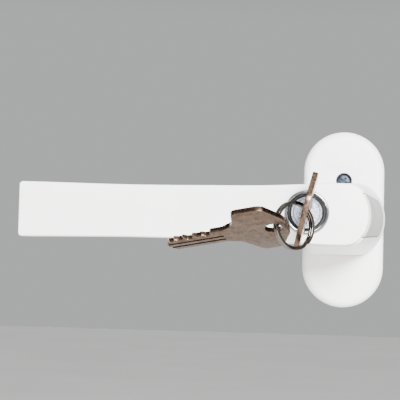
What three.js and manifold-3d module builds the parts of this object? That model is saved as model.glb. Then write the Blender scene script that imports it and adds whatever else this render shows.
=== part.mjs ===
// A keyed window lock: a lever handle on an oblong base, with a wafer cylinder in
// the root of the lever, a release button on the end of its neck, the key in the
// lock and a spare key on a split ring.
//
// Frame, in millimetres: the origin is on the spindle's axis at the back face of
// the base. +Y points into the window frame, so the handle stands out towards -Y.
// +Z is the base's long direction, and the lever points along -X.
import * as THREE from "three";
import { mergeVertices } from "three/addons/utils/BufferGeometryUtils.js";
import Module from "manifold-3d";

// ---------------------------------------------------------------- dimensions
const GAP = 0.3; // between pieces that lie face to face
const CUT = 1; // how far a cutter runs past the face that it opens

const BASE_WIDTH = 31.6;
const BASE_LENGTH = 69.2;
const BASE_DEPTH = 11;
const BASE_EDGE_RADIUS = 3;
const COVER_WALL = 2;
const SCREW_HOLE_Z = 15.1;
const SCREW_HOLE_RADIUS = 3.15;
const SCREW_SHANK_RADIUS = 1.95;
const SCREW_REACH = 25; // how far a fixing screw goes into the frame
const SCREW_HEAD_RADIUS = 2.95;
const SCREW_HEAD_DEPTH = 1.5;
const SCREW_HEAD_SINK = 0.4; // below the base plate's front
const SCREW_RECESS_HALF = 1.9; // half the length of each arm of the cross
const SCREW_RECESS_WIDTH = 0.8;

const FRONT_Y = -48; // the lever's front face
const FRONT_COVER_DEPTH = 4;
const LEVER_TIP_X = -121;
const ROOT_HALF_WIDTH = 11.25;
const ROUND_END_X = -5; // centre of the round end, in the front face
const ROUND_END_RADIUS = 14;
const ROUND_END_BLEND = 8;
const TIP_HALF_WIDTH = 10.25;
const TIP_CORNER_RADIUS = 1.3;
const TIP_EDGE = 1.4; // the casting's rounding at the tip
// Half the width of the lever at stations along the grip, tip first.
const GRIP_WIDTHS = [
  [-112, 10.2], [-101, 9.98], [-83, 9.72], [-65, 9.72], [-46, 9.93],
  [-34.6, 10.05], [-23.5, 10.4], [-14, 10.85], [-5, ROOT_HALF_WIDTH],
];
const GRIP_BACK_Y = -35.6; // the back of the grip beside the neck
const GRIP_TIP_BACK_Y = -37;
const GRIP_EDGE_RADIUS = 3.5;
const GRIP_ROOT_HALF = 10.9; // half the grip's width inside the neck

const NECK_FRONT_Y = FRONT_Y + FRONT_COVER_DEPTH + GAP;
const NECK_FRONT_SHARE = 0.12; // how far the flare has gone there
const NECK_REAR_Y = -BASE_DEPTH - GAP;
const NECK_REAR_HALF_WIDTH = 14.1;
const NECK_REAR_RADIUS = 16.7;
const NECK_REAR_CENTRE_X = -0.5;
const NECK_LEFT_X = -15.2;
const NECK_LEFT_CORNER = 4;

const COLLAR_RADIUS = 6.6;
const COLLAR_END_Y = -1.6;
const RING_GROOVE_RADIUS = 5.8; // the groove for the retaining ring
const RING_GROOVE_Y = [-3.1, -2.1];
const RETAINER_RADIUS = 8.6;
const RETAINER_MOUTH = 3.2; // the gap that lets the retaining ring spring on
const WASHER_RADIUS = 9.6;
const WASHER_Y = [-3.95, -3.3];
const BUSH_RADIUS = 7.6;
const SPINDLE_SIDE = 7;
const SPINDLE_FRONT_Y = -32;
const SPINDLE_END_Y = 33;
const SPINDLE_CHAMFER = 1.2;
const BORE_CLEARANCE = 0.08;

const PLATE_FRONT_Y = -8.7;
const PLATE_INSET = 0.35; // between the base plate and the cover's inner wall
const WASHER_ROOM_RADIUS = 10.4; // the recess in the plate's back
const WASHER_ROOM_Y = -4.2;
const POCKET_COUNT = 4; // a quarter turn apart
const INDEX_GROOVE_WIDTH = 0.9;
const LIGHTENING_Z = 23.5; // pockets that make the plate lighter
const LIGHTENING_HALF = [9, 3.2];
const LIGHTENING_DEPTH = 6;
const POCKET_INNER = 7.85; // the index pockets around the collar
const POCKET_OUTER = 10.9;
const POCKET_WIDTH = 3.8;
const POCKET_FLOOR_Y = -4.7;
const COVER_OPENING_RADIUS = 11.1;

const LOCK_X = -13.6;
const LOCK_Z = 0.4;
const KEYWAY_LEAN = THREE.MathUtils.degToRad(13.5);
const HOUSING_RADIUS = 7;
const HOUSING_END_Y = -24.3;
const PLUG_FACE_Y = -48.4;
const PLUG_HEAD_RADIUS = 5.85;
const PLUG_HEAD_DEPTH = 2.5;
const PLUG_RADIUS = 5.4;
const BEZEL_RADIUS = 8.1;
const PLUG_TAIL_RADIUS = 1.3;
const PLUG_TAIL_Y = -15.9;
const KEYWAY_END_Y = -26.6;
const KEYWAY_ROOM = [0.2, 0.35]; // round the blade's thickness and its height
const WAFER_START = 5.2; // from the plug's face to the first wafer
const WAFER_COUNT = 5;
const WAFER_PITCH = 3.4;
const WAFER_THICK = 0.9;
const WAFER_WIDTH = 4.1;
const WAFER_HEIGHT = 9.8;

const KEY_THICK = 1.9;
const BLADE_HEIGHT = 8;
const BLADE_LENGTH = 21.4;
const KEY_STANDOFF = 0.3; // between the plug's face and the key's shoulder
const BOW_LENGTH = 22.3;
const BOW_HALF_WIDTH = 14;
const BOW_HOLE_X = 17.4;
const BOW_HOLE_RADIUS = 3;
const CUT_DEPTHS = [1.9, 1.4, 2.3, 1.7, 2.1];
const CREST_DEPTH = 0.9; // what is left between two cuts stands this far below the edge
const GROOVE_HEIGHTS = [-2, 0.2]; // two milled grooves in each face of the blade
const GROOVE_WIDTH = 0.9;
const GROOVE_DEPTH = 0.35;
const GROOVE_START = 0.6; // from the shoulder

const DRUM_RADIUS = 3;
const DRUM_FLANGE_RADIUS = 6.2;
const DRUM_END_Y = -16.9;
const DRUM_GROOVE_RADIUS = 0.85;
const PEG_RADIUS = 0.5;
const PEG_Y = -22.3;
const CLIP_RADIUS = 1.95;
const BOLT_TRAVEL = 5.5;
const BOLT_X = -9.3;
const BOLT_Y = [-23, -12];
const BOLT_HALF = [1.1, 1.2]; // along X and Z
const BOLT_ROOM = 0.3; // round the bolt in its channel
const BOLT_CHANNEL_X = -12.4;
const CAM_ROOM_END_Y = -15.6;

const RING_RADIUS = 8; // to the middle of the wire
const RING_WIRE_WIDTH = 1.3;
const RING_WIRE_DEPTH = 2.2;

const BUTTON_HALF_HEIGHT = 8;
const BUTTON_REAR_Y = -14.8;
const BUTTON_DEPTH = 2.6; // along X, from its outer skin to its inner one
const BUTTON_TRAVEL = 2;
const LIP_X = 5.2;
const LIP_FRONT_Y = -30;
const LIP_REAR_Y = -18;
const LIP_THICK = 1.6;
const LIP_WALL_Z = 6.6; // the inner face of the walls that carry the lips
const LIP_EDGE_Z = 9.2;
const LIP_WALL_X = 9;
const POST_RADIUS = 1.1;
const WELL_RADIUS = 2.6; // round the button spring
const WELL_END_X = 14;
const NOSE_Y = -19.5;
const SPRING_FLOOR_X = 5.2;
const SPRING_RADIUS = 1.75;
const SPRING_LENGTH = 4;
const SPRING_Y = -26.5;
const SPRING_Z = 4.4;

const CATCH_X = 9.7; // the inner face of the catch's strip
const CATCH_THICK = 0.4;
const CATCH_HALF = 1.4; // half its width
const CATCH_WELL_X = 7.2;
const CATCH_FOOT_Y = -28;
const CATCH_TIP_Y = -6.2;

// ---------------------------------------------------------------- materials
function finish(colour, roughness, metalness) {
  return new THREE.MeshStandardMaterial({ color: colour, roughness, metalness });
}
const WHITE_COAT = () => finish(0xf4f4f2, 0.42, 0);
const GREY_PLASTIC = () => finish(0xb9bab9, 0.5, 0);
const ZINC = () => finish(0x9fa4ab, 0.45, 1);
const STEEL = () => finish(0xb4b7bb, 0.32, 1);
const CHROME = () => finish(0xd8dadd, 0.12, 1);
const BRASS = () => finish(0xb08d4a, 0.35, 1);
const NICKEL = () => finish(0x8d8177, 0.36, 1);
const DARK_NICKEL = () => finish(0x4a4641, 0.25, 1);
const NYLON = () => finish(0xdedbd2, 0.55, 0);
const SPRING_STEEL = () => finish(0x8b8e92, 0.3, 1);

// ---------------------------------------------------------------- solid tools
const wasm = await Module();
wasm.setup();

function solid(geometry, matrix = null) {
  const bare = geometry.clone();
  bare.deleteAttribute("normal");
  bare.deleteAttribute("uv");
  if (matrix) bare.applyMatrix4(matrix);
  const merged = mergeVertices(bare, 1e-4);
  return new wasm.Manifold(new wasm.Mesh({
    numProp: 3,
    vertProperties: new Float32Array(merged.attributes.position.array),
    triVerts: new Uint32Array(merged.index.array),
  }));
}

function geometryOf(made) {
  const mesh = made.getMesh();
  const geometry = new THREE.BufferGeometry();
  geometry.setAttribute("position", new THREE.BufferAttribute(mesh.vertProperties, 3));
  geometry.setIndex(new THREE.BufferAttribute(mesh.triVerts, 1));
  geometry.computeVertexNormals();
  return geometry;
}

function node(name, shape, material) {
  const geometry = shape.isBufferGeometry ? shape : geometryOf(shape);
  const mesh = new THREE.Mesh(geometry, material);
  mesh.name = name;
  return mesh;
}

function move(x, y, z) {
  return new THREE.Matrix4().makeTranslation(x, y, z);
}

// A flat outline in X and Z, drawn out along Y between two levels.
function prism(shape, yLow, yHigh, curveSegments = 10) {
  const geometry = new THREE.ExtrudeGeometry(shape, {
    depth: yHigh - yLow, bevelEnabled: false, curveSegments,
  });
  geometry.rotateX(Math.PI / 2);
  return solid(geometry, move(0, yHigh, 0));
}

function rectangle(x0, x1, z0, z1) {
  return new THREE.Shape([
    new THREE.Vector2(x0, z0), new THREE.Vector2(x1, z0),
    new THREE.Vector2(x1, z1), new THREE.Vector2(x0, z1),
  ]);
}

function block(x0, x1, y0, y1, z0, z1) {
  return prism(rectangle(x0, x1, z0, z1), y0, y1);
}

// A cylinder along Y.
function rod(radius, yLow, yHigh, x = 0, z = 0, sides = 32) {
  const geometry = new THREE.CylinderGeometry(radius, radius, yHigh - yLow, sides);
  return solid(geometry, move(x, (yLow + yHigh) / 2, z));
}

// A turned piece on the Y axis, from a profile of radius and Y that closes on itself.
function turned(profile, x = 0, z = 0, sides = 32) {
  const points = profile.map(([radius, y]) => new THREE.Vector2(radius, y));
  points.push(points[0].clone());
  return solid(new THREE.LatheGeometry(points, sides), move(x, 0, z));
}

function ring(inner, outer, yLow, yHigh, x = 0, z = 0, sides = 32) {
  return turned([[inner, yLow], [outer, yLow], [outer, yHigh], [inner, yHigh]], x, z, sides);
}

// A closed solid through a row of outlines that have the same number of points.
function loft(sections) {
  const count = sections[0].length;
  const positions = [];
  const index = [];
  for (const section of sections) {
    for (const p of section) positions.push(p.x, p.y, p.z);
  }
  for (let s = 0; s < sections.length - 1; s++) {
    for (let i = 0; i < count; i++) {
      const a = s * count + i;
      const b = s * count + ((i + 1) % count);
      index.push(a, b, b + count, a, b + count, a + count);
    }
  }
  for (const [first, turn] of [[0, 1], [(sections.length - 1) * count, -1]]) {
    const flat = capOutline(sections[first / count]);
    for (const [a, b, c] of THREE.ShapeUtils.triangulateShape(flat, [])) {
      if (turn > 0) index.push(first + a, first + c, first + b);
      else index.push(first + a, first + b, first + c);
    }
  }
  const geometry = new THREE.BufferGeometry();
  geometry.setAttribute("position", new THREE.Float32BufferAttribute(positions, 3));
  geometry.setIndex(index);
  return facingOut(geometry);
}

// The outline of a loft's end, in the two directions that it spreads in.
function capOutline(section) {
  const box = new THREE.Box3().setFromPoints(section);
  const size = box.getSize(new THREE.Vector3());
  if (size.y < Math.min(size.x, size.z)) return section.map((p) => new THREE.Vector2(p.x, p.z));
  return section.map((p) => new THREE.Vector2(p.z, p.y));
}

function facingOut(geometry) {
  const made = solid(geometry);
  if (made.volume() > 0) return made;
  const turnedOver = geometry.clone();
  const order = turnedOver.index.array;
  for (let i = 0; i < order.length; i += 3) {
    [order[i + 1], order[i + 2]] = [order[i + 2], order[i + 1]];
  }
  return solid(turnedOver);
}

// An outline moved inwards by a distance, point for point (anticlockwise outlines).
function inset(points, distance) {
  return points.map((p, i) => {
    const before = points[(i + points.length - 1) % points.length];
    const after = points[(i + 1) % points.length];
    const along = after.clone().sub(before).normalize();
    return new THREE.Vector2(p.x - along.y * distance, p.y + along.x * distance);
  });
}

function atDepth(points, y) {
  return points.map((p) => new THREE.Vector3(p.x, y, p.y));
}

// ---------------------------------------------------------------- outlines
// The rounded plan of the base.
function stadium(width, length, steps = 20) {
  const radius = width / 2;
  const rise = length / 2 - radius;
  const points = [];
  for (const [centre, start] of [[-rise, Math.PI], [rise, 0]]) {
    for (let i = 0; i <= steps; i++) {
      const angle = start + (Math.PI * i) / steps;
      points.push(new THREE.Vector2(radius * Math.cos(angle), centre + radius * Math.sin(angle)));
    }
  }
  return points;
}

// The upper half of a round end: from the straight side, round a blend, to the apex.
function endArc(halfWidth, radius, centreX, blend) {
  const reach = Math.sqrt((radius - blend) ** 2 - (halfWidth - blend) ** 2);
  const corner = new THREE.Vector2(centreX + reach, halfWidth - blend);
  const turn = Math.atan2(halfWidth - blend, reach);
  const points = [];
  const BLEND_STEPS = 4;
  const END_STEPS = 7;
  for (let i = 0; i <= BLEND_STEPS; i++) {
    const angle = Math.PI / 2 + ((turn - Math.PI / 2) * i) / BLEND_STEPS;
    points.push(new THREE.Vector2(
      corner.x + blend * Math.cos(angle), corner.y + blend * Math.sin(angle)));
  }
  for (let i = 1; i <= END_STEPS; i++) {
    const angle = turn * (1 - i / END_STEPS);
    points.push(new THREE.Vector2(centreX + radius * Math.cos(angle), radius * Math.sin(angle)));
  }
  return points;
}

// An outline from its upper half, which runs from the left end to the right.
function mirrored(upper) {
  const lower = upper.filter((p) => Math.abs(p.y) > 1e-6).map((p) => new THREE.Vector2(p.x, -p.y));
  return [...lower, ...upper.reverse()];
}

// The lever seen from the front: tip corners, waisted grip, wider root, round end.
function leverOutline() {
  const upper = [];
  const CORNER_STEPS = 3;
  for (let i = 0; i <= CORNER_STEPS; i++) {
    const angle = Math.PI - (Math.PI / 2) * (i / CORNER_STEPS);
    upper.push(new THREE.Vector2(
      LEVER_TIP_X + TIP_CORNER_RADIUS * (1 + Math.cos(angle)),
      TIP_HALF_WIDTH - TIP_CORNER_RADIUS * (1 - Math.sin(angle))));
  }
  for (const [x, half] of GRIP_WIDTHS) upper.push(new THREE.Vector2(x, half));
  upper.push(...endArc(ROOT_HALF_WIDTH, ROUND_END_RADIUS, ROUND_END_X, ROUND_END_BLEND));
  return mirrored(upper);
}

// A section across the neck at a share of the way from its front to its rear.
function neckOutline(share) {
  const mix = THREE.MathUtils.lerp;
  const half = mix(ROOT_HALF_WIDTH, NECK_REAR_HALF_WIDTH, share);
  const radius = mix(ROUND_END_RADIUS, NECK_REAR_RADIUS, share);
  const centreX = mix(ROUND_END_X, NECK_REAR_CENTRE_X, share);
  const upper = [];
  const CORNER_STEPS = 4;
  for (let i = 0; i <= CORNER_STEPS; i++) {
    const angle = Math.PI - (Math.PI / 2) * (i / CORNER_STEPS);
    upper.push(new THREE.Vector2(
      NECK_LEFT_X + NECK_LEFT_CORNER * (1 + Math.cos(angle)),
      half - NECK_LEFT_CORNER * (1 - Math.sin(angle))));
  }
  upper.push(...endArc(half, radius, centreX, ROUND_END_BLEND));
  return mirrored(upper);
}

function widthAt(x) {
  const stations = GRIP_WIDTHS;
  if (x <= stations[0][0]) return stations[0][1];
  for (let i = 1; i < stations.length; i++) {
    const [x1, w1] = stations[i];
    const [x0, w0] = stations[i - 1];
    if (x <= x1) return THREE.MathUtils.mapLinear(x, x0, x1, w0, w1);
  }
  return stations.at(-1)[1];
}

// ---------------------------------------------------------------- base
function baseCover() {
  const outline = stadium(BASE_WIDTH, BASE_LENGTH);
  const sections = [atDepth(outline, 0)];
  const EDGE_STEPS = 4;
  for (let i = 0; i <= EDGE_STEPS; i++) {
    const angle = (Math.PI / 2) * (i / EDGE_STEPS);
    const step = BASE_EDGE_RADIUS * (1 - Math.cos(angle));
    const depth = BASE_DEPTH - BASE_EDGE_RADIUS + BASE_EDGE_RADIUS * Math.sin(angle);
    sections.push(atDepth(inset(outline, step), -depth));
  }
  const inside = inset(outline, COVER_WALL);
  const hollow = loft([
    atDepth(inside, CUT),
    atDepth(inside, COVER_WALL - BASE_DEPTH),
  ]);
  return loft(sections)
    .subtract(hollow)
    .subtract(rod(COVER_OPENING_RADIUS, -BASE_DEPTH - CUT, 0, 0, 0, 40))
    .subtract(rod(SCREW_HOLE_RADIUS, -BASE_DEPTH - CUT, 0, 0, SCREW_HOLE_Z, 28));
}

function basePlate() {
  const outline = inset(stadium(BASE_WIDTH, BASE_LENGTH), COVER_WALL + PLATE_INSET);
  let plate = loft([atDepth(outline, 0), atDepth(outline, PLATE_FRONT_Y)]);
  plate = plate.subtract(rod(BUSH_RADIUS + BORE_CLEARANCE, PLATE_FRONT_Y - CUT, CUT, 0, 0, 40));
  // The back is recessed for the washer and the retaining ring.
  plate = plate.subtract(rod(WASHER_ROOM_RADIUS, WASHER_ROOM_Y, CUT, 0, 0, 40));
  plate = plate.subtract(ring(BUSH_RADIUS - CUT, POCKET_INNER + INDEX_GROOVE_WIDTH,
    PLATE_FRONT_Y - CUT, POCKET_FLOOR_Y, 0, 0, 40));
  // The catch and the bolt drop into the pockets.
  for (let i = 0; i < POCKET_COUNT; i++) {
    const depth = POCKET_FLOOR_Y - PLATE_FRONT_Y + CUT;
    const pocket = new THREE.BoxGeometry(POCKET_OUTER - POCKET_INNER, depth, POCKET_WIDTH);
    const turn = new THREE.Matrix4().makeRotationY((i * 2 * Math.PI) / POCKET_COUNT);
    const middle = (POCKET_INNER + POCKET_OUTER) / 2;
    plate = plate.subtract(solid(pocket, turn.multiply(move(middle, POCKET_FLOOR_Y - depth / 2, 0))));
  }
  for (const side of [-1, 1]) {
    const z = side * SCREW_HOLE_Z;
    plate = plate.subtract(rod(SCREW_SHANK_RADIUS + 0.25, PLATE_FRONT_Y - CUT, CUT, 0, z, 24));
    plate = plate.subtract(countersink(z, 0.2));
    const [halfX, halfZ] = LIGHTENING_HALF;
    const middle = side * LIGHTENING_Z;
    plate = plate.subtract(block(-halfX, halfX, -LIGHTENING_DEPTH, CUT, middle - halfZ, middle + halfZ));
  }
  return plate;
}

// The cone under a countersunk head, made larger by a clearance.
function countersink(z, clearance) {
  const top = PLATE_FRONT_Y + SCREW_HEAD_SINK;
  const wide = SCREW_HEAD_RADIUS + clearance;
  const bottom = top + SCREW_HEAD_DEPTH + clearance / 2;
  const profile = [
    new THREE.Vector2(0, top - 2 * CUT), new THREE.Vector2(wide, top - 2 * CUT),
    new THREE.Vector2(wide, top), new THREE.Vector2(SCREW_SHANK_RADIUS + clearance, bottom),
    new THREE.Vector2(0, bottom),
  ];
  return solid(new THREE.LatheGeometry(profile, 24), move(0, 0, z));
}

function fixingScrew(z) {
  const top = PLATE_FRONT_Y + SCREW_HEAD_SINK;
  const profile = [
    new THREE.Vector2(0, top), new THREE.Vector2(SCREW_HEAD_RADIUS, top),
    new THREE.Vector2(SCREW_SHANK_RADIUS, top + SCREW_HEAD_DEPTH),
    new THREE.Vector2(SCREW_SHANK_RADIUS, SCREW_REACH - SCREW_SHANK_RADIUS),
    new THREE.Vector2(0, SCREW_REACH),
  ];
  const body = solid(new THREE.LatheGeometry(profile, 24), move(0, 0, z));
  const long = SCREW_RECESS_HALF;
  const half = SCREW_RECESS_WIDTH / 2;
  const floor = top + SCREW_HEAD_DEPTH * 0.6;
  return body
    .subtract(block(-long, long, top - CUT, floor, z - half, z + half))
    .subtract(block(-half, half, top - CUT, floor, z - long, z + long));
}

function bearingBush() {
  const inner = COLLAR_RADIUS + BORE_CLEARANCE;
  return ring(inner, BUSH_RADIUS, PLATE_FRONT_Y, WASHER_ROOM_Y - 0.1, 0, 0, 40);
}

// ---------------------------------------------------------------- lever
// The back of the lever, from the neck up to the grip: a cubic curve in X and Y.
const SWEEP = new THREE.CubicBezierCurve(
  new THREE.Vector2(NECK_LEFT_X, NECK_REAR_Y), new THREE.Vector2(-16.5, -15),
  new THREE.Vector2(-30, GRIP_BACK_Y), new THREE.Vector2(-52, GRIP_BACK_Y));

// A section across the grip at one X, with round back edges.
function gripSection(x, backY, halfWidth) {
  const radius = Math.min(GRIP_EDGE_RADIUS, (backY - NECK_FRONT_Y) * 0.6);
  const points = [-halfWidth, halfWidth].map((z) => new THREE.Vector3(x, NECK_FRONT_Y, z));
  const STEPS = 4;
  for (const side of [1, -1]) {
    for (let i = 0; i <= STEPS; i++) {
      const share = side > 0 ? i / STEPS : 1 - i / STEPS;
      const angle = (Math.PI / 2) * share;
      points.push(new THREE.Vector3(
        x, backY - radius * (1 - Math.sin(angle)),
        side * (halfWidth - radius * (1 - Math.cos(angle)))));
    }
  }
  return points;
}

function grip() {
  const sections = [
    gripSection(LEVER_TIP_X + 0.1, GRIP_TIP_BACK_Y - TIP_EDGE, TIP_HALF_WIDTH - 1.05),
    gripSection(LEVER_TIP_X + TIP_EDGE, GRIP_TIP_BACK_Y, TIP_HALF_WIDTH - 0.05),
  ];
  for (const x of [-110, -95, -80, -65]) {
    const backY = THREE.MathUtils.mapLinear(x, LEVER_TIP_X, -60, GRIP_TIP_BACK_Y, GRIP_BACK_Y);
    sections.push(gripSection(x, Math.min(backY, GRIP_BACK_Y), widthAt(x)));
  }
  const SWEEP_STEPS = 12;
  for (let i = 0; i <= SWEEP_STEPS; i++) {
    const p = SWEEP.getPoint(1 - i / SWEEP_STEPS);
    sections.push(gripSection(p.x, p.y, Math.min(widthAt(p.x), GRIP_ROOT_HALF)));
  }
  sections.push(gripSection(NECK_LEFT_X + 3.2, NECK_REAR_Y, GRIP_ROOT_HALF));
  return loft(sections);
}

function leverCasting() {
  const neck = neckSkin(NECK_FRONT_Y, NECK_REAR_Y, 0);
  let body = neck.add(grip()).add(rod(COLLAR_RADIUS, NECK_REAR_Y - CUT, COLLAR_END_Y, 0, 0, 40));
  body = body.subtract(ring(RING_GROOVE_RADIUS, COLLAR_RADIUS + CUT, ...RING_GROOVE_Y, 0, 0, 40));
  const half = SPINDLE_SIDE / 2 + 0.05;
  body = body.subtract(block(-half, half, SPINDLE_FRONT_Y - GAP, 0, -half, half));
  // The lock's bore, then the room behind it for the cam drum and the bolt.
  body = body.subtract(
    rod(HOUSING_RADIUS + GAP / 2, NECK_FRONT_Y - CUT, HOUSING_END_Y + 1.2, LOCK_X, LOCK_Z));
  body = body.subtract(rod(DRUM_RADIUS + 0.4, HOUSING_END_Y, CAM_ROOM_END_Y, LOCK_X, LOCK_Z, 24));
  const channelEnd = BOLT_X + BOLT_HALF[0] + BOLT_ROOM;
  const channelHalf = BOLT_HALF[1] + BOLT_ROOM;
  const CHANNELS = [
    [BOLT_CHANNEL_X, HOUSING_END_Y, CAM_ROOM_END_Y],
    [BOLT_X - BOLT_HALF[0] - BOLT_ROOM, CAM_ROOM_END_Y - CUT, NECK_REAR_Y + CUT],
  ];
  for (const [x, y0, y1] of CHANNELS) {
    body = body.subtract(block(x, channelEnd, y0, y1, LOCK_Z - channelHalf, LOCK_Z + channelHalf));
  }
  // The button's pocket, open at the round end, and the slot for the catch.
  body = body.subtract(buttonPocket());
  const slotX = CATCH_X - BUTTON_TRAVEL - GAP;
  const slotHalf = CATCH_HALF + 0.25;
  return body.subtract(block(slotX, CATCH_X + CATCH_THICK + 0.2, BUTTON_REAR_Y - CUT,
    NECK_REAR_Y + CUT, -slotHalf, slotHalf));
}

// The neck's own skin over a range of Y, moved inwards along X.
function neckSkin(yLow, yHigh, shift) {
  const share = (y) => (y - NECK_FRONT_Y) / (NECK_REAR_Y - NECK_FRONT_Y);
  const at = (y) => atDepth(neckOutline(THREE.MathUtils.lerp(NECK_FRONT_SHARE, 1, share(y))), y);
  return loft([at(yLow), at(yHigh)]).translate([-shift, 0, 0]);
}

// What lies between the neck's skin and the same skin moved inwards by a depth.
function neckShell(yLow, yHigh, depth, halfHeight) {
  return block(0, 30, yLow, yHigh, -halfHeight, halfHeight)
    .subtract(neckSkin(yLow - CUT, yHigh + CUT, depth));
}

// The button's outline drawn out along X, made larger by a clearance. Seen from the end, it is
// widest at the front and its rear corners are round.
function buttonColumn(clearance) {
  const half = BUTTON_HALF_HEIGHT + clearance;
  const height = BUTTON_REAR_Y + clearance - NECK_FRONT_Y;
  const cornerHeight = height - 6;
  const face = new THREE.Shape();
  face.moveTo(-half, -CUT);
  face.lineTo(half, -CUT);
  face.lineTo(half - 1.2, cornerHeight);
  face.quadraticCurveTo(half - 1.6, height, half - 5.5, height);
  face.lineTo(5.5 - half, height);
  face.quadraticCurveTo(1.6 - half, height, 1.2 - half, cornerHeight);
  face.closePath();
  const depth = 30;
  const drawn = new THREE.ExtrudeGeometry(face, { depth, bevelEnabled: false, curveSegments: 6 });
  const basis = new THREE.Matrix4().makeBasis(
    new THREE.Vector3(0, 0, 1), new THREE.Vector3(0, 1, 0), new THREE.Vector3(-1, 0, 0));
  basis.setPosition(depth, NECK_FRONT_Y, 0);
  return solid(drawn, basis);
}

function buttonPocket() {
  const half = BUTTON_HALF_HEIGHT + GAP;
  const rearY = BUTTON_REAR_Y + GAP;
  const room = neckShell(NECK_FRONT_Y - CUT, rearY, BUTTON_DEPTH + BUTTON_TRAVEL + GAP, half)
    .intersect(buttonColumn(GAP));
  const springWell = rodX(WELL_RADIUS, SPRING_FLOOR_X, WELL_END_X, SPRING_Y, SPRING_Z);
  const wellHalf = CATCH_HALF + 0.7;
  const catchWell = block(CATCH_WELL_X, WELL_END_X, CATCH_FOOT_Y - 1.6, rearY, -wellHalf, wellHalf);
  return room.add(springWell).add(catchWell).add(buttonLips(GAP, BUTTON_TRAVEL));
}

// Two side walls with lips that keep the button in, made larger by a clearance and a travel.
function buttonLips(clearance, travel) {
  const inner = LIP_X - clearance - travel;
  const rows = [LIP_FRONT_Y - clearance, LIP_REAR_Y + clearance];
  let lips = null;
  for (const side of [-1, 1]) {
    const spans = (z0, z1) => [Math.min(side * z0, side * z1), Math.max(side * z0, side * z1)];
    const wallSpan = spans(LIP_WALL_Z - clearance, BUTTON_HALF_HEIGHT - 0.2 + clearance);
    const lipSpan = spans(LIP_WALL_Z - clearance, LIP_EDGE_Z + clearance);
    const wall = block(inner, LIP_WALL_X + clearance, ...rows, ...wallSpan);
    const lip = block(inner, LIP_X + LIP_THICK + clearance, ...rows, ...lipSpan);
    const pair = wall.add(lip);
    lips = lips ? lips.add(pair) : pair;
  }
  return lips;
}

// A cylinder along X.
function rodX(radius, x0, x1, y, z, sides = 20) {
  const geometry = new THREE.CylinderGeometry(radius, radius, x1 - x0, sides);
  geometry.rotateZ(Math.PI / 2);
  return solid(geometry, move((x0 + x1) / 2, y, z));
}

function frontCover() {
  const outline = leverOutline();
  const backY = FRONT_Y + FRONT_COVER_DEPTH;
  const sections = [
    atDepth(outline, backY),
    atDepth(outline, FRONT_Y + 0.7),
    atDepth(inset(outline, 0.2), FRONT_Y + 0.22),
    atDepth(inset(outline, 0.65), FRONT_Y),
  ];
  return loft(sections)
    .subtract(rod(HOUSING_RADIUS + 0.15, FRONT_Y - CUT, backY + CUT, LOCK_X, LOCK_Z, 40))
    .subtract(rod(BEZEL_RADIUS + 0.15, FRONT_Y - CUT, FRONT_Y + 0.9, LOCK_X, LOCK_Z, 40));
}

function spindle() {
  const half = SPINDLE_SIDE / 2;
  const bar = block(-half, half, SPINDLE_FRONT_Y, SPINDLE_END_Y, -half, half);
  // The far end is chamfered to find the gear's square hole.
  const end = SPINDLE_END_Y - SPINDLE_CHAMFER;
  const corner = half * Math.SQRT2;
  const taper = new THREE.CylinderGeometry(corner - 1, corner + 0.2, SPINDLE_CHAMFER, 4);
  taper.rotateY(Math.PI / 4);
  const point = solid(taper, move(0, end + SPINDLE_CHAMFER / 2, 0))
    .intersect(block(-half, half, end - 0.1, SPINDLE_END_Y, -half, half));
  return bar.subtract(block(-SPINDLE_SIDE, SPINDLE_SIDE, end, SPINDLE_END_Y + CUT,
    -SPINDLE_SIDE, SPINDLE_SIDE)).add(point);
}

function retainingRing() {
  const [low, high] = RING_GROOVE_Y;
  const body = ring(RING_GROOVE_RADIUS + 0.2, RETAINER_RADIUS, low + 0.15, high - 0.15);
  const half = RETAINER_MOUTH / 2;
  return body.subtract(block(-half, half, low - CUT, high + CUT, -RETAINER_RADIUS - CUT, 0));
}

function waveWasher() {
  return ring(COLLAR_RADIUS + 0.25, WASHER_RADIUS, ...WASHER_Y);
}

// ---------------------------------------------------------------- lock
function lockHousing() {
  const front = FRONT_Y + 0.5;
  const seat = PLUG_FACE_Y + PLUG_HEAD_DEPTH + 0.1;
  const tube = turned([
    [PLUG_RADIUS + BORE_CLEARANCE, seat], [PLUG_HEAD_RADIUS + 0.12, seat],
    [PLUG_HEAD_RADIUS + 0.12, front + 0.4], [PLUG_HEAD_RADIUS + 0.4, front],
    [HOUSING_RADIUS - 0.35, front], [HOUSING_RADIUS - 0.35, front + 1.4],
    [HOUSING_RADIUS, front + 1.4], [HOUSING_RADIUS, HOUSING_END_Y],
    [PLUG_RADIUS + BORE_CLEARANCE, HOUSING_END_Y],
  ], 0, 0, 36);
  // Two grooves take the ends of the wafers when the key is drawn.
  const groove = block(-WAFER_WIDTH / 2 - 0.2, WAFER_WIDTH / 2 + 0.2, seat + 1, HOUSING_END_Y - 1.5,
    -6.25, 6.25);
  return tube.subtract(groove);
}

function lockBezel() {
  return turned([
    [HOUSING_RADIUS - 0.2, FRONT_Y + 0.8], [HOUSING_RADIUS - 0.2, FRONT_Y - 0.1],
    [HOUSING_RADIUS + 0.1, FRONT_Y - 0.35], [BEZEL_RADIUS - 0.3, FRONT_Y - 0.3],
    [BEZEL_RADIUS, FRONT_Y + 0.05], [BEZEL_RADIUS, FRONT_Y + 0.8],
  ], LOCK_X, LOCK_Z, 40);
}

function waferY(i) {
  return PLUG_FACE_Y + WAFER_START + i * WAFER_PITCH;
}

// The slot that the blade slides in, over a range of Y.
function keyway(yLow, yHigh) {
  const halfThick = KEY_THICK / 2 + KEYWAY_ROOM[0];
  const halfHeight = BLADE_HEIGHT / 2 + KEYWAY_ROOM[1];
  return block(-halfThick, halfThick, yLow, yHigh, -halfHeight, halfHeight);
}

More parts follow.
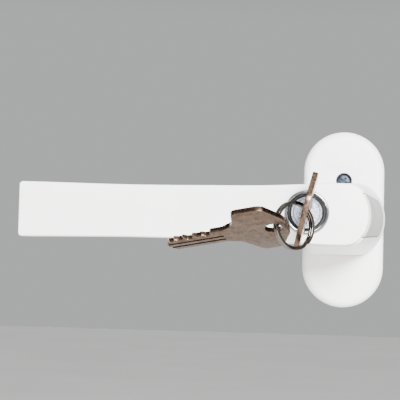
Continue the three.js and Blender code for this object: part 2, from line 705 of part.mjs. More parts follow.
function lockPlug() {
  const tailY = HOUSING_END_Y - 0.1;
  const profile = [
    new THREE.Vector2(0, PLUG_FACE_Y),
    new THREE.Vector2(PLUG_HEAD_RADIUS - 0.3, PLUG_FACE_Y),
    new THREE.Vector2(PLUG_HEAD_RADIUS, PLUG_FACE_Y + 0.3),
    new THREE.Vector2(PLUG_HEAD_RADIUS, PLUG_FACE_Y + PLUG_HEAD_DEPTH),
    new THREE.Vector2(PLUG_RADIUS, PLUG_FACE_Y + PLUG_HEAD_DEPTH),
    new THREE.Vector2(PLUG_RADIUS, tailY),
    new THREE.Vector2(PLUG_TAIL_RADIUS, tailY),
    new THREE.Vector2(PLUG_TAIL_RADIUS, PLUG_TAIL_Y),
    new THREE.Vector2(0, PLUG_TAIL_Y),
  ];
  let plug = solid(new THREE.LatheGeometry(profile, 36));
  plug = plug.subtract(keyway(PLUG_FACE_Y - CUT, KEYWAY_END_Y));
  for (let i = 0; i < WAFER_COUNT; i++) {
    const y = waferY(i);
    plug = plug.subtract(block(
      -WAFER_WIDTH / 2 - 0.15, WAFER_WIDTH / 2 + 0.15, y - 0.15, y + WAFER_THICK + 0.15,
      -WAFER_HEIGHT / 2 - 0.2, WAFER_HEIGHT / 2 + 0.2));
  }
  return plug;
}

function wafer(i) {
  const y = waferY(i);
  const plate = block(-WAFER_WIDTH / 2, WAFER_WIDTH / 2, y, y + WAFER_THICK,
    -WAFER_HEIGHT / 2, WAFER_HEIGHT / 2);
  return plate.subtract(keyway(y - CUT, y + WAFER_THICK + CUT));
}

// The cam drum turns with the plug. Its helical groove drives the bolt's peg.
function camDrum() {
  const bore = PLUG_TAIL_RADIUS + BORE_CLEARANCE;
  let drum = rod(DRUM_RADIUS, HOUSING_END_Y + 0.9, DRUM_END_Y, 0, 0, 28);
  drum = drum.add(rod(DRUM_FLANGE_RADIUS, HOUSING_END_Y + 0.2, HOUSING_END_Y + 0.95, 0, 0, 28));
  drum = drum.subtract(rod(bore, HOUSING_END_Y, DRUM_END_Y + CUT, 0, 0, 20));
  const STEPS = 14;
  for (let i = 0; i <= STEPS; i++) {
    const share = THREE.MathUtils.mapLinear(i, 0, STEPS, -0.03, 1.03);
    const cutter = rodX(DRUM_GROOVE_RADIUS, DRUM_RADIUS - 1, DRUM_RADIUS + 2, 0, 0, 10);
    const degrees = share * 90 - THREE.MathUtils.radToDeg(KEYWAY_LEAN);
    drum = drum.subtract(cutter.rotate([0, degrees, 0]).translate([0, PEG_Y + share * BOLT_TRAVEL, 0]));
  }
  return drum;
}

function camClip() {
  const low = DRUM_END_Y + 0.1;
  const high = low + 0.6;
  return ring(PLUG_TAIL_RADIUS + BORE_CLEARANCE, CLIP_RADIUS, low, high, 0, 0, 20)
    .subtract(block(-0.9, 0.9, low - CUT, high + CUT, 0, CLIP_RADIUS + CUT));
}

function lockBolt() {
  const [halfX, halfZ] = BOLT_HALF;
  const bar = block(BOLT_X - halfX, BOLT_X + halfX, ...BOLT_Y, LOCK_Z - halfZ, LOCK_Z + halfZ);
  const peg = rodX(PEG_RADIUS, LOCK_X + DRUM_RADIUS - 0.8, BOLT_X - 1, PEG_Y, LOCK_Z, 12);
  return bar.add(peg);
}

// ---------------------------------------------------------------- button and catch
function pushButton() {
  const skin = neckSkin(NECK_FRONT_Y, BUTTON_REAR_Y + CUT, 0);
  const shell = neckShell(NECK_FRONT_Y - CUT, BUTTON_REAR_Y + CUT, BUTTON_DEPTH, BUTTON_HALF_HEIGHT + CUT);
  const nose = block(CATCH_X + CATCH_THICK + 0.1, 12, NOSE_Y - 1.3, NOSE_Y + 1.3,
    -CATCH_HALF, CATCH_HALF);
  const post = rodX(POST_RADIUS, SPRING_FLOOR_X + BUTTON_TRAVEL + 0.6, 12, SPRING_Y, SPRING_Z, 14);
  return skin.intersect(shell).intersect(buttonColumn(0)).add(nose).add(post)
    .add(buttonLips(0, 0));
}

// A strip of spring steel. The button's nose bends its tip out of the index pocket.
function catchSpring() {
  const outer = CATCH_X + CATCH_THICK;
  const strip = block(CATCH_X, outer, CATCH_FOOT_Y, CATCH_TIP_Y, -CATCH_HALF, CATCH_HALF);
  const foot = block(CATCH_WELL_X, outer, CATCH_FOOT_Y - 1, CATCH_FOOT_Y, -CATCH_HALF, CATCH_HALF);
  return strip.add(foot);
}

// A coil spring round the button's post, wound along X.
function buttonSpring() {
  const COILS = 3;
  const STEPS_PER_COIL = 12;
  const WIRE_RADIUS = 0.25;
  const start = SPRING_FLOOR_X + WIRE_RADIUS + 0.02;
  const points = [];
  for (let i = 0; i <= COILS * STEPS_PER_COIL; i++) {
    const angle = (i / STEPS_PER_COIL) * 2 * Math.PI;
    points.push(new THREE.Vector3(
      start + (SPRING_LENGTH * i) / (COILS * STEPS_PER_COIL),
      SPRING_Y + SPRING_RADIUS * Math.cos(angle), SPRING_Z + SPRING_RADIUS * Math.sin(angle)));
  }
  const wire = new THREE.Shape();
  wire.absarc(0, 0, WIRE_RADIUS, 0, 2 * Math.PI);
  return solid(new THREE.ExtrudeGeometry(wire, {
    steps: COILS * STEPS_PER_COIL, extrudePath: new THREE.CatmullRomCurve3(points),
    curveSegments: 3, bevelEnabled: false,
  }));
}

// ---------------------------------------------------------------- keys and ring
// A key lies along X: the blade towards -X and the bow towards +X from its shoulder.
function keyOutline() {
  const half = BLADE_HEIGHT / 2;
  const wide = BOW_HALF_WIDTH;
  const shape = new THREE.Shape();
  shape.moveTo(0, -half);
  // The lower shoulder slants, and the upper one is nearly square.
  shape.lineTo(2, -5);
  shape.quadraticCurveTo(4, -5.4, 5.2, -7);
  shape.lineTo(8.6, 2.2 - wide);
  shape.quadraticCurveTo(10, -wide, 11.6, -wide);
  shape.lineTo(14.6, -wide);
  shape.quadraticCurveTo(16.4, 0.1 - wide, 17.6, 1.2 - wide);
  shape.lineTo(BOW_LENGTH - 1.3, -6.8);
  shape.quadraticCurveTo(BOW_LENGTH, -4.8, BOW_LENGTH, -2.8);
  shape.lineTo(BOW_LENGTH, 2.8);
  shape.quadraticCurveTo(BOW_LENGTH, 4.8, BOW_LENGTH - 1.3, 6.8);
  shape.lineTo(17.6, wide - 1.2);
  shape.quadraticCurveTo(16.4, wide - 0.1, 14.6, wide);
  shape.lineTo(8, wide);
  shape.quadraticCurveTo(6.4, wide - 0.1, 5.9, wide - 1.4);
  shape.lineTo(4.9, 8.4);
  shape.quadraticCurveTo(4.4, 5.8, 2, 5.2);
  shape.lineTo(0, half);
  // The cuts along one edge of the blade, one for each wafer, then the tapered tip.
  CUT_DEPTHS.forEach((depth, i) => {
    const middle = waferMiddle(i);
    shape.lineTo(middle + 1.5, half - (i === 0 ? 0 : CREST_DEPTH));
    shape.lineTo(middle + 0.6, half - depth);
    shape.lineTo(middle - 0.6, half - depth);
  });
  shape.lineTo(1.2 - BLADE_LENGTH, half - CREST_DEPTH - 0.6);
  shape.lineTo(-BLADE_LENGTH, half - 3.4);
  shape.lineTo(-BLADE_LENGTH, 2.4 - half);
  shape.lineTo(2.4 - BLADE_LENGTH, -half);
  shape.closePath();
  const hole = new THREE.Path();
  hole.absarc(BOW_HOLE_X, 0, BOW_HOLE_RADIUS, 0, 2 * Math.PI);
  shape.holes.push(hole);
  return shape;
}

// Where the middle of a wafer stands along the key, from the key's shoulder.
function waferMiddle(i) {
  return PLUG_FACE_Y - KEY_STANDOFF - waferY(i) - WAFER_THICK / 2;
}

function keyBody() {
  const plate = new THREE.ExtrudeGeometry(keyOutline(), {
    depth: KEY_THICK, bevelEnabled: false, curveSegments: 6,
  });
  let key = solid(plate, move(0, 0, -KEY_THICK / 2));
  for (const y of GROOVE_HEIGHTS) {
    for (const side of [-1, 1]) {
      const groove = new THREE.BoxGeometry(BLADE_LENGTH, GROOVE_WIDTH, 2 * GROOVE_DEPTH);
      const middle = -BLADE_LENGTH / 2 - GROOVE_START;
      key = key.subtract(solid(groove, move(middle, y, (side * KEY_THICK) / 2)));
    }
  }
  return key;
}

// A split ring: a wire of oblong section, closed so that its two turns read as one ring.
function splitRing() {
  const low = RING_RADIUS - RING_WIRE_WIDTH / 2;
  const high = RING_RADIUS + RING_WIRE_WIDTH / 2;
  const half = RING_WIRE_DEPTH / 2;
  const edge = 0.35;
  return turned([
    [low, edge - half], [low + edge, -half], [high - edge, -half], [high, edge - half],
    [high, -0.25], [high - edge, 0], [high, 0.25],
    [high, half - edge], [high - edge, half], [low + edge, half], [low, half - edge],
  ], 0, 0, 40);
}

// ---------------------------------------------------------------- assembly
const assembly = new THREE.Group();

function place(parent, name, shape, material) {
  const mesh = node(name, shape, material);
  parent.add(mesh);
  return mesh;
}

place(assembly, "base_cover", baseCover(), WHITE_COAT());
place(assembly, "base_plate", basePlate(), ZINC());
place(assembly, "bearing_bush", bearingBush(), NYLON());
place(assembly, "base_screw_upper", fixingScrew(SCREW_HOLE_Z), STEEL());
place(assembly, "base_screw_lower", fixingScrew(-SCREW_HOLE_Z), STEEL());

place(assembly, "lever_casting", leverCasting(), WHITE_COAT());
place(assembly, "front_cover", frontCover(), WHITE_COAT());
place(assembly, "spindle", spindle(), STEEL());
place(assembly, "retaining_ring", retainingRing(), SPRING_STEEL());
place(assembly, "wave_washer", waveWasher(), SPRING_STEEL());
place(assembly, "lock_bezel", lockBezel(), CHROME());
place(assembly, "catch_spring", catchSpring(), SPRING_STEEL());
place(assembly, "button_spring", buttonSpring(), SPRING_STEEL());
place(assembly, "push_button", pushButton(), GREY_PLASTIC());
place(assembly, "lock_bolt", lockBolt(), BRASS());

// The lock stands on its own axis, and its keyway leans to the right at the top.
const lock = new THREE.Group();
lock.position.set(LOCK_X, 0, LOCK_Z);
lock.rotation.y = KEYWAY_LEAN;
assembly.add(lock);
place(lock, "lock_housing", lockHousing(), DARK_NICKEL());
place(lock, "lock_plug", lockPlug(), ZINC());
for (let i = 0; i < WAFER_COUNT; i++) {
  place(lock, `wafer_${i + 1}`, wafer(i), BRASS());
}
place(lock, "cam_drum", camDrum(), ZINC());
place(lock, "cam_clip", camClip(), SPRING_STEEL());

// The key in the lock, its bow towards the room and its blade in the keyway.
const keyHolder = new THREE.Group();
keyHolder.quaternion.setFromRotationMatrix(new THREE.Matrix4().makeBasis(
  new THREE.Vector3(0, -1, 0), new THREE.Vector3(0, 0, 1), new THREE.Vector3(-1, 0, 0)));
keyHolder.position.set(0, PLUG_FACE_Y - KEY_STANDOFF, 0);
lock.add(keyHolder);
place(keyHolder, "inserted_key", keyBody(), NICKEL());

// The ring hangs through the key's hole and lies across the lower half of its bow.
const RING_CENTRE = new THREE.Vector3(-17.4, -69.8, -5.3);
const RING_AXIS = new THREE.Vector3(0.656, -0.755, 0.05).normalize();
const ringHolder = new THREE.Group();
ringHolder.position.copy(RING_CENTRE);
ringHolder.quaternion.setFromUnitVectors(new THREE.Vector3(0, 1, 0), RING_AXIS);
assembly.add(ringHolder);
place(ringHolder, "split_ring", splitRing(), DARK_NICKEL());

// The spare key hangs from the ring's far side and points along the grip.
const SPARE_BLADE_WAY = new THREE.Vector3(-0.966, 0.2, -0.168).normalize();
const SPARE_WIDTH_WAY = new THREE.Vector3(-0.234, -0.884, 0.405);
SPARE_WIDTH_WAY.addScaledVector(SPARE_BLADE_WAY, -SPARE_WIDTH_WAY.dot(SPARE_BLADE_WAY)).normalize();
const RING_TO_SPARE = new THREE.Vector3(-0.755, -0.656, -0.04);
RING_TO_SPARE.addScaledVector(RING_AXIS, -RING_TO_SPARE.dot(RING_AXIS)).normalize();
const RING_GRIP_POINT = RING_CENTRE.clone().addScaledVector(RING_TO_SPARE, RING_RADIUS);
const SPARE_SLACK = 0.9; // from the wire to the middle of the hole
const SPARE_LENGTH_WAY = SPARE_BLADE_WAY.clone().negate();
const SPARE_FACE_WAY = SPARE_LENGTH_WAY.clone().cross(SPARE_WIDTH_WAY);
const spareHolder = new THREE.Group();
spareHolder.quaternion.setFromRotationMatrix(new THREE.Matrix4().makeBasis(
  SPARE_LENGTH_WAY, SPARE_WIDTH_WAY, SPARE_FACE_WAY));
// The wire lies against the far side of the bow's hole.
spareHolder.position.copy(RING_GRIP_POINT).addScaledVector(SPARE_BLADE_WAY, BOW_HOLE_X + SPARE_SLACK);
assembly.add(spareHolder);
place(spareHolder, "spare_key", keyBody(), NICKEL());

export default assembly;
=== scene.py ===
"""The looks of a keyed window lock: a white lever handle on an oblong base, with its keys.

Every piece is in metres, in the frame that the CAD uses. The origin is on the spindle's axis at
the back of the base, the lever points along -X, and the room is on the -Y side.
"""

import math

import bmesh
import bpy
from mathutils import Matrix, Vector

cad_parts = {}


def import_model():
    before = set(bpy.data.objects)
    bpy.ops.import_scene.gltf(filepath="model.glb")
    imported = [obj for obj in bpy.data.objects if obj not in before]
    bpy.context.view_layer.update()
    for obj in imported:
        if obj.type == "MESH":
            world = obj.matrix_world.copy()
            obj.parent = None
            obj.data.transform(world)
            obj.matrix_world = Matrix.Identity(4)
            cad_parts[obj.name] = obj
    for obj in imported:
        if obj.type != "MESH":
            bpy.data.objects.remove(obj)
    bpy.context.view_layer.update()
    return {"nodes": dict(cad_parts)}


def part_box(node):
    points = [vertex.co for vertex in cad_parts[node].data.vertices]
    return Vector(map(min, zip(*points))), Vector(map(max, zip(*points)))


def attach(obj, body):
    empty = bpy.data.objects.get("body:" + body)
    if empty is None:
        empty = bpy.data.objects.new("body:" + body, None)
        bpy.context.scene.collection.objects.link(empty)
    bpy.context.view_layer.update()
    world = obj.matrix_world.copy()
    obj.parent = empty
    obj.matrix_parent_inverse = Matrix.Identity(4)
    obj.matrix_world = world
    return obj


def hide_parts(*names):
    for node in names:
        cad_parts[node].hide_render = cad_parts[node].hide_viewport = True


MM = 0.001
PAST = 1 * MM  # how far a cutting tool runs past the face that it cuts
CLEARANCE = 0.3 * MM  # between pieces that move on each other

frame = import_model()

# ---------------------------------------------------------------- driving dimensions
# Those that a CAD node's box gives are read from it.
BASE_LOW, BASE_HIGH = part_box("base_cover")
BASE_HALF = BASE_HIGH.x
BASE_RISE = BASE_HIGH.z - BASE_HALF
BASE_FRONT = BASE_LOW.y
BASE_EDGE = 3 * MM
COVER_WALL = 2 * MM
SCREW_LOW, SCREW_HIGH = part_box("base_screw_upper")
SCREW_Z = (SCREW_LOW.z + SCREW_HIGH.z) / 2
SCREW_HOLE_RADIUS = 3.15 * MM
COVER_OPENING = 11.1 * MM
SHANK_RADIUS = 1.95 * MM
RECESS_ARM, RECESS_HALF, RECESS_DEPTH = 1.7 * MM, 0.4 * MM, 1.1 * MM

FRONT_LOW, FRONT_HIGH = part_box("front_cover")
FRONT_Y = FRONT_LOW.y
COVER_BACK_Y = FRONT_HIGH.y
TIP_X = FRONT_LOW.x
ROOT_HALF = FRONT_HIGH.z
TIP_CORNER = 1.3 * MM
COVER_EDGE = 0.65 * MM

CAST_LOW, CAST_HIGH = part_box("lever_casting")
NECK_FRONT_Y = CAST_LOW.y
NECK_REAR_Y = BASE_FRONT - CLEARANCE
NECK_REAR_HALF = CAST_HIGH.z
COLLAR_RADIUS = 6.6 * MM
COLLAR_END_Y = CAST_HIGH.y
RING_GROOVE = (5.8 * MM, 8 * MM, -3.1 * MM, -2.1 * MM)  # its radii, then its two ends
SOCKET_HALF = 3.55 * MM
GRIP_BACK_Y = -35.6 * MM
GRIP_TIP_BACK_Y = -37 * MM
GRIP_EDGE = 3.5 * MM
GRIP_INSET = 0.05 * MM  # how far the grip's sides lie inside the front cover's
GRIP_TIP_INSET = 0.1 * MM
GRIP_TIP_EDGE = 1.4 * MM
GRIP_TAPER_END = 8 * MM  # the back's taper ends this far before the sweep
GRIP_ROOT_X = -12 * MM
GRIP_ROOT_HALF = 10.9 * MM
NECK_LEFT_X = -15.2 * MM
NECK_LEFT_CORNER = 4 * MM
END_BLEND = 8 * MM
FRONT_END = (14 * MM, -5 * MM)  # the round end's radius and centre, in the front face
REAR_END = (16.7 * MM, -0.5 * MM)  # the same at the neck's rear
FRONT_SHARE = 0.12  # how far the neck's flare has gone at its front

PLUG_LOW, PLUG_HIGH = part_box("lock_plug")
HOUSING_LOW, HOUSING_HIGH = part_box("lock_housing")
LOCK_X = (HOUSING_LOW.x + HOUSING_HIGH.x) / 2
LOCK_Z = (HOUSING_LOW.z + HOUSING_HIGH.z) / 2
LOCK_LEAN = math.radians(13.5)
PLUG_FACE_Y = PLUG_LOW.y
PLUG_HEAD_RADIUS = 5.85 * MM
PLUG_RADIUS = 5.4 * MM
HOUSING_RADIUS = (HOUSING_HIGH.x - HOUSING_LOW.x) / 2
BEZEL_RADIUS = 8.1 * MM
BORE_GAP = 0.15 * MM
COUNTERBORE_GAP = 0.12 * MM
COUNTERBORE_DEPTH = 0.9 * MM
DRUM_ROOM_RADIUS = 3.4 * MM
BOLT_CHANNEL_X = -12.4 * MM
BOLT_FOOT = 2.5 * MM

KEY_THICK = 1.9 * MM
BLADE_HALF = 4 * MM
BLADE_LENGTH = 21.4 * MM
KEY_STANDOFF = 0.3 * MM
BOW_LENGTH = 22.3 * MM
BOW_HALF = 14 * MM
BOW_HOLE_X = 17.4 * MM
BOW_HOLE_RADIUS = 3 * MM
CUT_DEPTHS = (1.9, 1.4, 2.3, 1.7, 2.1)
CREST_DEPTH = 0.9
FIRST_CUT = -5.95
CUT_PITCH = 3.4
GROOVE_HEIGHTS = (-2 * MM, 0.2 * MM)
GROOVE_WIDTH = 0.9 * MM
GROOVE_DEPTH = 0.35 * MM
GROOVE_START = 0.6 * MM
BORDER_INSET = 1.2 * MM
BORDER_WIDTH = 0.4 * MM
BORDER_DEPTH = 0.25 * MM

RING_RADIUS = 8 * MM
RING_CENTRE = Vector((-17.4, -69.8, -5.3)) * MM
RING_AXIS = Vector((0.656, -0.755, 0.05)).normalized()
RING_TO_SPARE = Vector((-0.755, -0.656, -0.04))
RING_TO_SPARE -= RING_AXIS * RING_TO_SPARE.dot(RING_AXIS)
RING_TO_SPARE = RING_TO_SPARE.normalized() * RING_RADIUS

BUTTON_HALF = 8 * MM
BUTTON_DEPTH = 2.6 * MM
BUTTON_REAR_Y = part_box("push_button")[1].y
BUTTON_CORNER = 4.4 * MM
BUTTON_TAPER = 1.2 * MM  # how much nearer the middle each side is at its corner than at the front
BUTTON_CORNER_START = 6 * MM
BUTTON_TRAVEL_ROOM = 2.3 * MM
STEM_RADIUS, STEM_LENGTH = 1.1 * MM, 4 * MM
STEM_INSET = 2.6 * MM  # from the button spring's low end
STEM_Y, STEM_Z = -26.5 * MM, 4.4 * MM
WELL_END_X = 14 * MM
SPRING_WELL_RADIUS = 2.6 * MM


# ---------------------------------------------------------------- mesh tools
def new_object(name, mesh):
    piece = bpy.data.objects.new(name, mesh)
    bpy.context.scene.collection.objects.link(piece)
    return piece


def loft(name, sections):
    """A closed solid through rows of points that all have the same count."""
    mesh = bmesh.new()
    rows = [[mesh.verts.new(point) for point in section] for section in sections]
    count = len(rows[0])
    for row, following in zip(rows, rows[1:]):
        for i in range(count):
            j = (i + 1) % count
            mesh.faces.new((row[i], row[j], following[j], following[i]))
    for row in (rows[0], rows[-1]):
        mesh.faces.new(row)
    bmesh.ops.recalc_face_normals(mesh, faces=mesh.faces)
    data = bpy.data.meshes.new(name)
    mesh.to_mesh(data)
    mesh.free()
    return new_object(name, data)


def turned(name, profile, steps=96, centre=(0.0, 0.0)):
    """A closed solid turned about Y. Its (radius, y) points join two places on the axis, or loop."""
    mesh = bmesh.new()
    rows = []
    for radius, y in profile:
        if radius < 1e-7:
            rows.append([mesh.verts.new((centre[0], y, centre[1]))])
            continue
        angles = [2 * math.pi * i / steps for i in range(steps)]
        rows.append([
            mesh.verts.new((centre[0] + radius * math.cos(a), y, centre[1] + radius * math.sin(a)))
            for a in angles
        ])
    pairs = list(zip(rows, rows[1:]))
    if len(rows[0]) > 1:
        pairs.append((rows[-1], rows[0]))
    for row, following in pairs:
        for i in range(steps):
            j = (i + 1) % steps
            corners = [row[i % len(row)], row[j % len(row)],
                       following[j % len(following)], following[i % len(following)]]
            mesh.faces.new(list(dict.fromkeys(corners)))
    bmesh.ops.recalc_face_normals(mesh, faces=mesh.faces)
    data = bpy.data.meshes.new(name)
    mesh.to_mesh(data)
    mesh.free()
    return new_object(name, data)


def prism(name, outline, low, high, place=None):
    """A flat outline of (x, y) points, drawn out along the third direction and put in place."""
    sections = [[Vector((x, y, level)) for x, y in outline] for level in (low, high)]
    piece = loft(name, sections)
    if place is not None:
        piece.data.transform(place)
    return piece


def block(name, low, high, place=None):
    """A box between two corners."""
    outline = [(low[0], low[1]), (high[0], low[1]), (high[0], high[1]), (low[0], high[1])]
    return prism(name, outline, low[2], high[2], place)


def cylinder(name, radius, low, high, centre=(0.0, 0.0), steps=64):
    """A round bar along Y, from low to high."""
    return turned(name, [(0, low), (radius, low), (radius, high), (0, high)], steps, centre)


def lay_along_x(piece, origin):
    """Turns a piece that was made along Y, so that it runs along X from the origin given."""
    piece.data.transform(Matrix.Translation(origin) @ Matrix.Rotation(-math.pi / 2, 4, "Z"))
    return piece


def apply_modifiers(piece):
    """Puts the piece's modifiers into its mesh."""
    depsgraph = bpy.context.evaluated_depsgraph_get()
    made = bpy.data.meshes.new_from_object(piece.evaluated_get(depsgraph))
    piece.modifiers.clear()
    piece.data = made
    return piece


def combine(piece, tools, operation="DIFFERENCE"):
    """Cuts or joins each tool with the piece, and removes the tool."""
    for tool in tools:
        step = piece.modifiers.new("combine", "BOOLEAN")
        step.operation = operation
        step.solver = "EXACT"
        step.object = tool
        apply_modifiers(piece)
        bpy.data.objects.remove(tool)
    return piece


def soften(piece, width, angle=35, steps=3):
    """Rounds the sharp edges and smooths the rest."""
    bevel = piece.modifiers.new("edges", "BEVEL")
    bevel.width = width
    bevel.segments = steps
    bevel.limit_method = "ANGLE"
    bevel.angle_limit = math.radians(angle)
    bevel.use_clamp_overlap = True
    bevel.harden_normals = False
    apply_modifiers(piece)
    return smooth(piece, angle)


def smooth(piece, angle=30):
    """Shades the piece smooth, but for the edges that are sharper than the angle."""
    piece.data.shade_smooth()
    piece.data.set_sharp_from_angle(angle=math.radians(angle))
    return piece


# ---------------------------------------------------------------- outlines
def arc(centre, radius, start, end, steps):
    """Points of an arc in degrees, both ends included."""
    angles = [math.radians(start + (end - start) * i / steps) for i in range(steps + 1)]
    return [(centre[0] + radius * math.cos(a), centre[1] + radius * math.sin(a)) for a in angles]


def stadium(half, rise, steps=48):
    """An oblong with round ends."""
    return arc((0, -rise), half, 180, 360, steps) + arc((0, rise), half, 0, 180, steps)


def end_arc(half, radius, centre_x, blend, blend_steps=10, end_steps=22):
    """The upper half of a round end: from the straight side, round a blend, to the apex."""
    reach = math.sqrt((radius - blend) ** 2 - (half - blend) ** 2)
    corner = (centre_x + reach, half - blend)
    turn = math.degrees(math.atan2(half - blend, reach))
    points = arc(corner, blend, 90, turn, blend_steps)
    return points + arc((centre_x, 0), radius, turn, 0, end_steps)[1:]


def mirrored(upper):
    """The whole outline, from its upper half."""
    lower = [(x, -z) for x, z in upper if abs(z) > 1e-9]
    return lower + upper[::-1]


def spline(knots, x):
    """A smooth curve through (x, value) knots, read at x."""
    if x <= knots[0][0]:
        return knots[0][1]
    for i in range(len(knots) - 1):
        if x <= knots[i + 1][0]:
            before = knots[max(i - 1, 0)][1]
            low, high = knots[i][1], knots[i + 1][1]
            after = knots[min(i + 2, len(knots) - 1)][1]
            t = (x - knots[i][0]) / (knots[i + 1][0] - knots[i][0])
            return 0.5 * (2 * low + (high - before) * t
                          + (2 * before - 5 * low + 4 * high - after) * t ** 2
                          + (3 * low - before - 3 * high + after) * t ** 3)
    return knots[-1][1]


# Half the width of the lever at stations along it, in millimetres, tip first.
GRIP_WIDTHS = [(-121, 10.25), (-101, 9.98), (-83, 9.72), (-65, 9.72), (-46, 9.93),
               (-34.6, 10.05), (-23.5, 10.4), (-14, 10.85), (-5, 11.25)]


def grip_half(x):
    """Half the lever's width at a station, in metres."""
    return spline(GRIP_WIDTHS, x / MM) * MM


def lever_outline():
    """The lever's front, from its square tip to its round end."""
    upper = arc((TIP_X + TIP_CORNER, grip_half(TIP_X) - TIP_CORNER), TIP_CORNER, 180, 90, 8)
    start = TIP_X + 2 * TIP_CORNER
    end = FRONT_END[1]
    STATIONS = 60
    for i in range(STATIONS):
        x = start + (end - start) * i / STATIONS
        upper.append((x, grip_half(x)))
    upper += end_arc(ROOT_HALF, FRONT_END[0], FRONT_END[1], END_BLEND)
    return mirrored(upper)


def neck_outline(share):
    """The neck's outline at a share of its flare: 0 is the lever's own size, 1 is the rear."""
    half = ROOT_HALF + (NECK_REAR_HALF - ROOT_HALF) * share
    radius = FRONT_END[0] + (REAR_END[0] - FRONT_END[0]) * share
    centre_x = FRONT_END[1] + (REAR_END[1] - FRONT_END[1]) * share
    corner = (NECK_LEFT_X + NECK_LEFT_CORNER, half - NECK_LEFT_CORNER)
    upper = arc(corner, NECK_LEFT_CORNER, 180, 90, 12)
    upper += end_arc(half, radius, centre_x, END_BLEND)
    return mirrored(upper)


def inset(points, distance):
    """The same outline moved inwards."""
    moved = []
    for i, (x, z) in enumerate(points):
        before = points[i - 1]
        after = points[(i + 1) % len(points)]
        along = Vector((after[0] - before[0], after[1] - before[1])).normalized()
        moved.append((x - along.y * distance, z + along.x * distance))
    return moved


def at_depth(points, y):
    """An outline of (x, z) points, put at a depth."""
    return [Vector((x, y, z)) for x, z in points]


# ---------------------------------------------------------------- materials
def base_material(name, colour, roughness, metallic=0.0):
    """A plain material, with its node tree and its shader, for the functions below to build on."""
    material = bpy.data.materials.new(name)
    material.use_nodes = True
    shader = material.node_tree.nodes["Principled BSDF"]
    shader.inputs["Base Color"].default_value = (*colour, 1)
    shader.inputs["Roughness"].default_value = roughness
    shader.inputs["Metallic"].default_value = metallic
    return material, material.node_tree, shader


def noise(tree, scale, detail=4, roughness=0.55):
    """A noise value in the piece's own space."""
    coordinates = tree.nodes.new("ShaderNodeTexCoord")
    texture = tree.nodes.new("ShaderNodeTexNoise")
    texture.inputs["Scale"].default_value = scale
    texture.inputs["Detail"].default_value = detail
    texture.inputs["Roughness"].default_value = roughness
    tree.links.new(coordinates.outputs["Object"], texture.inputs["Vector"])
    return texture.outputs["Fac"]


def ramp(tree, value, stops):
    """Maps a value to colours. Each stop is a place and a colour."""
    node = tree.nodes.new("ShaderNodeValToRGB")
    elements = node.color_ramp.elements
    while len(elements) < len(stops):
        elements.new(0.5)
    for element, (place, colour) in zip(elements, stops):
        element.position = place
        element.color = (*colour, 1)
    tree.links.new(value, node.inputs["Fac"])
    return node.outputs["Color"]


def span(tree, value, low, high):
    """Maps a value from 0..1 to low..high."""
    node = tree.nodes.new("ShaderNodeMapRange")
    node.inputs["To Min"].default_value = low
    node.inputs["To Max"].default_value = high
    tree.links.new(value, node.inputs["Value"])
    return node.outputs["Result"]


def bump(tree, shader, height, strength, distance):
    node = tree.nodes.new("ShaderNodeBump")
    node.inputs["Strength"].default_value = strength
    node.inputs["Distance"].default_value = distance
    tree.links.new(height, node.inputs["Height"])
    tree.links.new(node.outputs["Normal"], shader.inputs["Normal"])


def white_coat():
    """A fine orange-peel powder coat, a little uneven in tone and gloss."""
    material, tree, shader = base_material("white_powder_coat", (0.86, 0.86, 0.85), 0.4)
    tone = ramp(tree, noise(tree, 60, 3), [(0.3, (0.83, 0.83, 0.82)), (0.7, (0.88, 0.88, 0.87))])
    tree.links.new(tone, shader.inputs["Base Color"])
    gloss = span(tree, noise(tree, 300, 3), 0.34, 0.5)
    tree.links.new(gloss, shader.inputs["Roughness"])
    bump(tree, shader, noise(tree, 1800, 3, 0.6), 0.12, 0.0002)
    return material


def grey_plastic():
    """The button's plastic, duller than the coat."""
    material, tree, shader = base_material("grey_moulded_plastic", (0.4, 0.4, 0.395), 0.5)
    tone = ramp(tree, noise(tree, 90, 3), [(0.3, (0.36, 0.36, 0.355)), (0.7, (0.42, 0.42, 0.415))])
    tree.links.new(tone, shader.inputs["Base Color"])
    gloss = span(tree, noise(tree, 500, 3), 0.4, 0.56)
    tree.links.new(gloss, shader.inputs["Roughness"])
    bump(tree, shader, noise(tree, 2600, 2), 0.1, 0.0001)
    return material


def metal(name, dark, light, roughness, grain=900, speckle=0.1, depth=0.00005):
    """A metal that varies between two tones, with a fine grain."""
    material, tree, shader = base_material(name, light, roughness, 1.0)
    tone = ramp(tree, noise(tree, grain / 4, 5, 0.65), [(0.32, dark), (0.68, light)])
    tree.links.new(tone, shader.inputs["Base Color"])
    gloss = span(tree, noise(tree, grain / 2, 4), max(roughness - 0.1, 0.04), roughness + 0.12)
    tree.links.new(gloss, shader.inputs["Roughness"])
    bump(tree, shader, noise(tree, grain, 4, 0.6), speckle, depth)
    return material


def plain_plastic(name, colour):
    """A moulded plastic for the pieces inside."""
    material, tree, shader = base_material(name, colour, 0.5)
    low = tuple(channel * 0.93 for channel in colour)
    tone = ramp(tree, noise(tree, 120, 3), [(0.3, low), (0.7, colour)])
    tree.links.new(tone, shader.inputs["Base Color"])
    bump(tree, shader, noise(tree, 1500, 2), 0.08, 0.0001)
    return material


